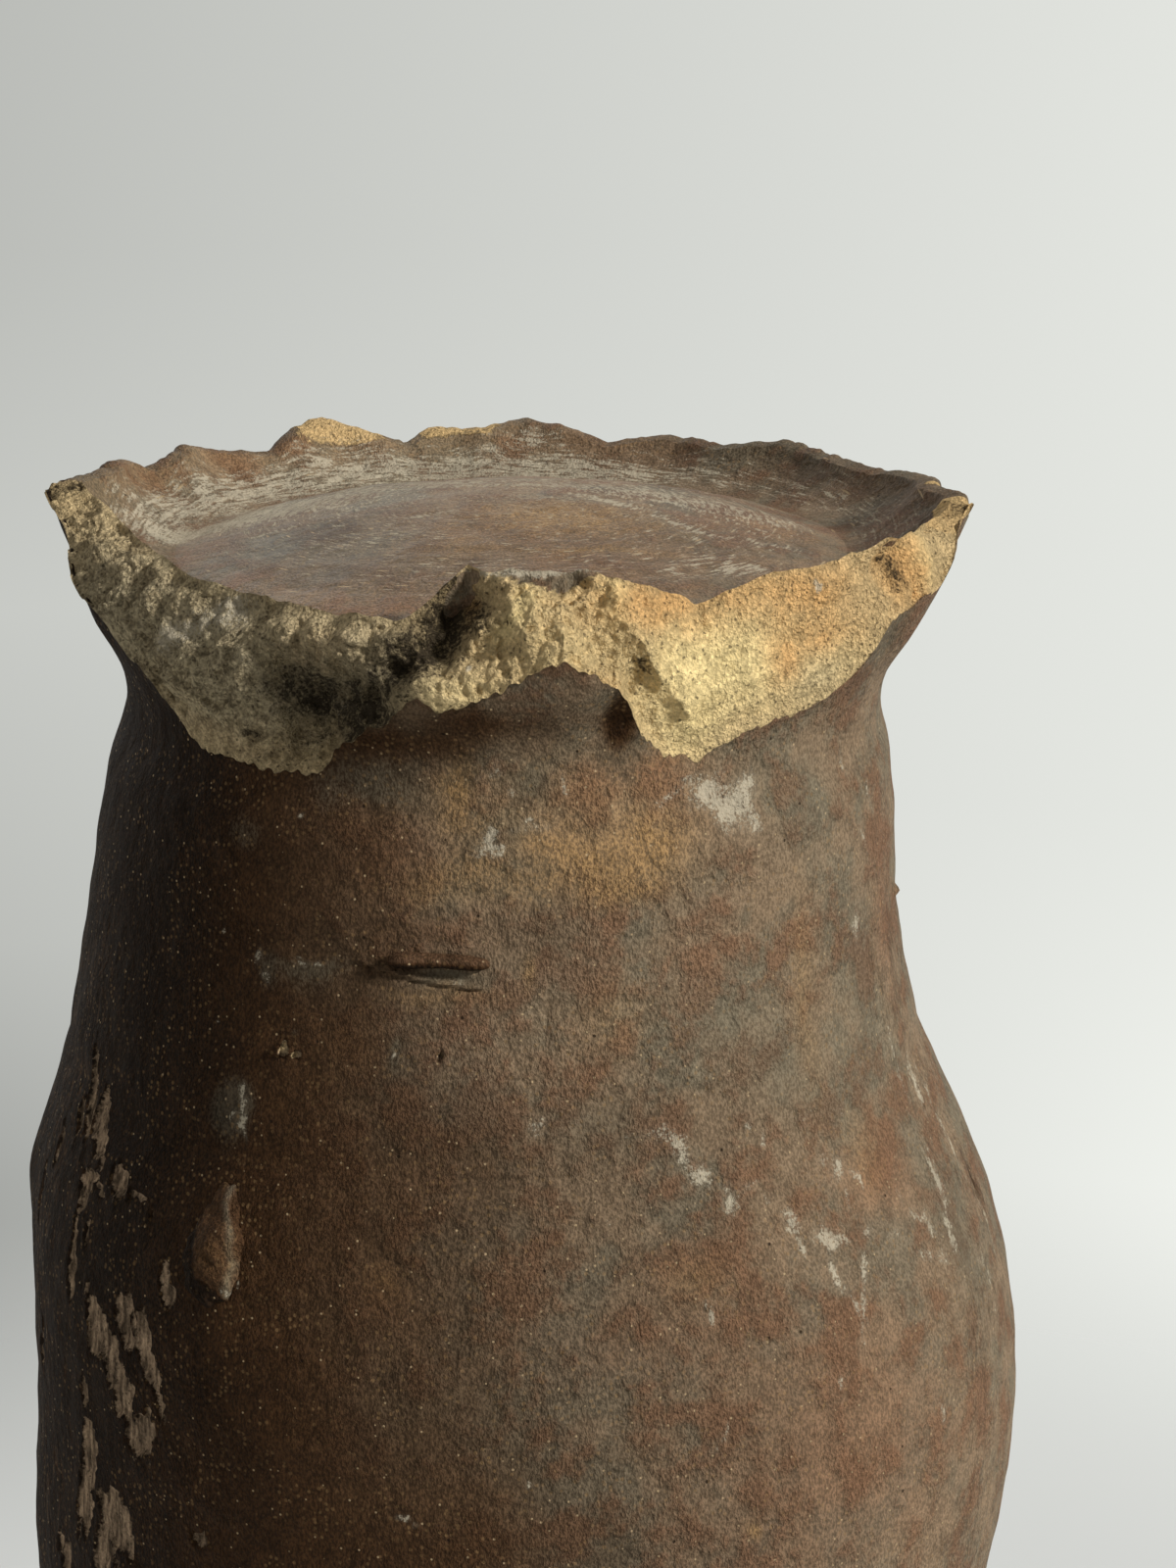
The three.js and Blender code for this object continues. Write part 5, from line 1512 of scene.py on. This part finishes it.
class JUG_OT_fuse_kiln_bits(Operator):
    """Makes the lump of clay and the splinter that fused to the wall in the kiln"""
    bl_idname = "jug.fuse_kiln_bits"
    bl_label = "Fuse the kiln's droppings"

    def execute(self, context):
        pot = Pot(context.scene)
        trim = context.scene.jug_trim
        self.make_lump(pot, trim)
        self.make_splinter(pot, trim)
        return {"FINISHED"}

    def make_lump(self, pot, trim):
        """A sphere stretched to the lump's three sizes, drawn in at the top like a drop and made craggy,
        with a pale ridge down its right side. It has the finish of the wall that it sits on, with painted
        shadow along its left side and bottom, the ridge tinted ash and partly painted lighter as highlight,
        and a painted glint at its lower right."""
        fall = np.linspace(0, np.pi, 92)[1:-1, None]
        turn = 2 * np.pi * np.arange(120) / 120
        taper = 0.62 + 0.42 * np.sin(fall / 2) ** 2
        across = trim.lump_width / MM / 2 * np.sin(fall) * np.cos(turn) * taper
        up = trim.lump_height / MM / 2 * np.cos(fall) + 0 * turn
        out = trim.lump_depth / MM / 2 * np.sin(fall) * np.sin(turn) * (1 - 0.5 * ease(up, -1, 5))
        rest = np.stack([across, out, up], axis=-1)
        ridge = np.exp(-((across - np.interp(up, *np.array(LUMP_RIDGE).T)) / 0.4) ** 2) * (out > 0)
        swell = 1 + 0.13 * rough(rest, 3.0, 3, 111) + 0.06 * rough(rest, 0.9, 2, 113) + 0.06 * ridge
        azimuth = LUMP_AZIMUTH + np.degrees(across / pot.outer(LUMP_LEVEL))
        level = LUMP_LEVEL + up
        points = on_wall(pot, LUMP_AZIMUTH, LUMP_LEVEL, across * swell, out * swell, up * swell)
        finish = wall_finish(azimuth, level, np.full(up.shape, pot.outer(LUMP_LEVEL)), points)
        # Painted shadow: a dark crescent along the lump's left side and bottom. The ridge is painted lighter, partly as
        # a highlight on the side the key light strikes.
        shade = 1 - ease(across + 0.25 * up, -2.6, -1.2)
        foot = 1 - ease(up + 0.3 * across, -4.6, -3.4)
        finish["dark"] = np.clip(0.6 + 0.9 * np.maximum(shade, foot) - 0.3 * ridge, 0, 1)
        finish["ochre"] = 0.5 * np.exp(-np.hypot(across - 1, up + 1) ** 2 / 6)
        finish["ash"] = 0.35 * ridge
        finish["rust"] = 0.7 * (1 - ridge)
        # The lime share here paints a glint, a painted highlight, at the lump's lower right.
        finish["lime"] = np.clip(0.7 * np.exp(-np.hypot(across - 2.5, up + 4) ** 2 * 4), 0, 1)
        finish["bare"] = 0 * up
        mesh = skin("kiln_lump", points[:, ::-1], {key: value[:, ::-1] for key, value in finish.items()},
                    closed=False)
        add_piece("kiln_lump", "_fused", mesh, kiln_grit())

    def make_splinter(self, pot, trim):
        """A bar across the wall: an oval section whose size falls off at both ends, slightly bent."""
        share = np.linspace(0, 1, 120)[1:-1, None]
        turn = 2 * np.pi * np.arange(60) / 60
        full = (1 - (2 * share - 1) ** 8) ** 0.5 * (1 - 0.25 * share)
        across = trim.splinter_length / MM * (share - 0.5) + 0 * turn
        out = trim.splinter_proud / MM * full * np.sin(turn)
        up = trim.splinter_width / MM / 2 * full * np.sign(np.cos(turn)) * np.abs(np.cos(turn)) ** 0.7
        rest = np.stack([across, out, up], axis=-1)
        swell = 1 + 0.12 * rough(rest, 1.7, 3, 121)
        bend = 0.25 * np.sin(np.pi * share) - 0.1 * share
        sink = (across / 45.0) ** 2 * 22.5
        points = on_wall(pot, -6, STEM_FROM + 21.3, across, out * swell - sink, up * swell + bend)
        # The underside of the splinter is painted darker, as the shadow under it.
        finish = {"dark": 0.5 + 0.5 * ease(-up, -0.1, 0.5), "rust": np.full(up.shape, 0.9),
                  "ash": np.full(up.shape, 0.2)}
        add_piece("fused_splinter", "_fused", skin("fused_splinter", points, finish, closed=False), kiln_grit())


# The stage

class JUG_OT_set_stage(Operator):
    """Makes the floor, the light, the background and the camera"""
    bl_idname = "jug.set_stage"
    bl_label = "Set the stage"

    def execute(self, context):
        studio = context.scene.jug_studio
        self.make_floor(context)
        self.make_light(context, studio)
        self.make_world(context, studio)
        self.make_camera(context, studio)
        context.scene.view_settings.view_transform = "Standard"
        return {"FINISHED"}

    def make_floor(self, context):
        """A flat disc that fades out towards its edge."""
        radius = np.linspace(0.002, 0.5, 40)[:, None] / MM
        turn = 2 * np.pi * np.arange(96) / 96
        points = np.stack(np.broadcast_arrays(radius * np.cos(turn), radius * np.sin(turn), 0 * radius), axis=-1)
        rows, columns = points.shape[:2]
        mesh = bpy.data.meshes.new("floor")
        middle = rows * columns
        vertices = np.concatenate([points.reshape(-1, 3) * MM, np.zeros((1, 3))])
        column = np.arange(columns)
        faces = ring_faces(rows, columns, False)[:, ::-1].tolist()
        faces += np.stack([column, (column + 1) % columns, np.full(columns, middle)], axis=-1).tolist()
        mesh.from_pydata(vertices.tolist(), [], faces)
        mesh.update()
        floor = bpy.data.objects.new("floor", mesh)
        context.scene.collection.objects.link(floor)
        material = bpy.data.materials.new("Pale floor")
        material.use_nodes = True
        tree = material.node_tree
        tree.nodes.clear()
        place = node(tree, "ShaderNodeTexCoord").outputs["Object"]
        far = node(tree, "ShaderNodeVectorMath", {0: place}, operation="LENGTH").outputs["Value"]
        fade = step_up(tree, far, 0.15, 0.4, 1.0, 0.0)
        shader = node(tree, "ShaderNodeBsdfPrincipled", {
            "Base Color": (0.78, 0.79, 0.76, 1.0), "Roughness": 0.85, "Specular IOR Level": 0.2, "Alpha": fade,
        })
        output = node(tree, "ShaderNodeOutputMaterial")
        tree.links.new(shader.outputs[0], output.inputs["Surface"])
        mesh.materials.append(material)

    def make_light(self, context, studio):
        """One low key lamp from the right, as soft as a window across a room, and a broad weak fill from
        behind."""
        for label in ("key", "fill"):
            lamp = bpy.data.lights.new(label, "SUN")
            lamp.energy = getattr(studio, label + "_strength")
            lamp.angle = getattr(studio, label + "_angle")
            placed = bpy.data.objects.new(label, lamp)
            tip = math.pi / 2 - getattr(studio, label + "_elevation")
            placed.rotation_euler = (tip, 0.0, getattr(studio, label + "_azimuth"))
            context.scene.collection.objects.link(placed)

    def make_world(self, context, studio):
        """A plain backdrop that is lighter to the right, seen by the camera and in reflections, and a soft
        light from all round, stronger on the left, away from the sun."""
        world = bpy.data.worlds.new("backdrop")
        world.use_nodes = True
        tree = world.node_tree
        tree.nodes.clear()
        direction = node(tree, "ShaderNodeTexCoord").outputs["Generated"]
        axes = node(tree, "ShaderNodeSeparateXYZ", {0: direction}).outputs
        height = node(tree, "ShaderNodeMapRange", {"Value": axes["Z"], "From Min": -0.5, "From Max": 0.0})
        sides = []
        for stops in (
            [(0.0, 0.36), (0.2, 0.365), (0.27, 0.42), (0.36, 0.5), (0.56, 0.575), (0.78, 0.5), (1.0, 0.49)],
            [(0.0, 0.77), (0.08, 0.79), (0.22, 0.86), (0.27, 0.845), (0.44, 0.785), (1.0, 0.76)],
        ):
            ramp = node(tree, "ShaderNodeValToRGB", {0: height.outputs[0]})
            while len(ramp.color_ramp.elements) < len(stops):
                ramp.color_ramp.elements.new(0.5)
            for element, (at, value) in zip(ramp.color_ramp.elements, stops):
                element.position = at
                element.color = (value, value * 1.02, value * 0.97, 1.0)
            sides.append(ramp.outputs[0])
        across = node(tree, "ShaderNodeMapRange", {"Value": axes["X"], "From Min": -0.185, "From Max": 0.185})
        backdrop = blend(tree, across.outputs[0], sides[0], sides[1])
        soft = node(tree, "ShaderNodeMapRange", {
            "Value": axes["X"], "From Min": -1.0, "From Max": 1.0, "To Min": studio.ambient_left,
            "To Max": studio.ambient_right,
        }).outputs[0]
        glow = node(tree, "ShaderNodeCombineColor", {0: soft, 1: soft, 2: soft}).outputs[0]
        rays = node(tree, "ShaderNodeLightPath").outputs
        seen = calc(tree, "MAXIMUM", rays["Is Camera Ray"], rays["Is Glossy Ray"])
        seen = calc(tree, "MAXIMUM", seen, rays["Is Transmission Ray"])
        color = blend(tree, seen, glow, backdrop)
        shader = node(tree, "ShaderNodeBackground", {"Color": color, "Strength": 1.0})
        output = node(tree, "ShaderNodeOutputWorld")
        tree.links.new(shader.outputs[0], output.inputs["Surface"])
        context.scene.world = world

    def make_camera(self, context, studio):
        data = bpy.data.cameras.new("camera")
        data.sensor_width = 36.0
        data.lens = data.sensor_width * studio.focal_pixels / studio.picture_height
        data.clip_start = 0.01
        camera = bpy.data.objects.new("camera", data)
        camera.location = studio.camera_place
        camera.rotation_euler = (math.pi / 2 - studio.pitch, 0.0, 0.0)
        context.scene.collection.objects.link(camera)
        context.scene.camera = camera


class JUG_PT_maker(Panel):
    """Lists what makes the jug."""
    bl_label = "Stoneware jug"
    bl_idname = "JUG_PT_maker"
    bl_space_type = "VIEW_3D"
    bl_region_type = "UI"
    bl_category = "Jug"

    def draw(self, context):
        for operator in OPERATORS:
            self.layout.operator(operator.bl_idname)
        for label in SETTINGS:
            box = self.layout.box()
            group = getattr(context.scene, label)
            for name in group.bl_rna.properties.keys():
                if name not in {"rna_type", "name"}:
                    box.prop(group, name)


SETTINGS = {
    "jug_body": JugBodySettings,
    "jug_foot": JugFootSettings,
    "jug_trim": JugTrimSettings,
    "jug_finish": JugFinishSettings,
    "jug_studio": JugStudioSettings,
}
OPERATORS = (
    JUG_OT_set_stage,
    JUG_OT_throw_body,
    JUG_OT_lay_cordon,
    JUG_OT_pinch_foot,
    JUG_OT_sag_base,
    JUG_OT_pull_handle,
    JUG_OT_fuse_kiln_bits,
)


def register():
    for settings in SETTINGS.values():
        bpy.utils.register_class(settings)
    for operator in OPERATORS:
        bpy.utils.register_class(operator)
    bpy.utils.register_class(JUG_PT_maker)
    for label, settings in SETTINGS.items():
        setattr(bpy.types.Scene, label, PointerProperty(type=settings))


def unregister():
    for label in SETTINGS:
        delattr(bpy.types.Scene, label)
    bpy.utils.unregister_class(JUG_PT_maker)
    for operator in reversed(OPERATORS):
        bpy.utils.unregister_class(operator)
    for settings in reversed(SETTINGS.values()):
        bpy.utils.unregister_class(settings)


def main():
    register()
    bpy.ops.jug.set_stage()
    bpy.ops.jug.throw_body()
    bpy.ops.jug.lay_cordon()
    bpy.ops.jug.pinch_foot()
    bpy.ops.jug.sag_base()
    bpy.ops.jug.pull_handle()
    bpy.ops.jug.fuse_kiln_bits()


if __name__ == "__main__":
    main()
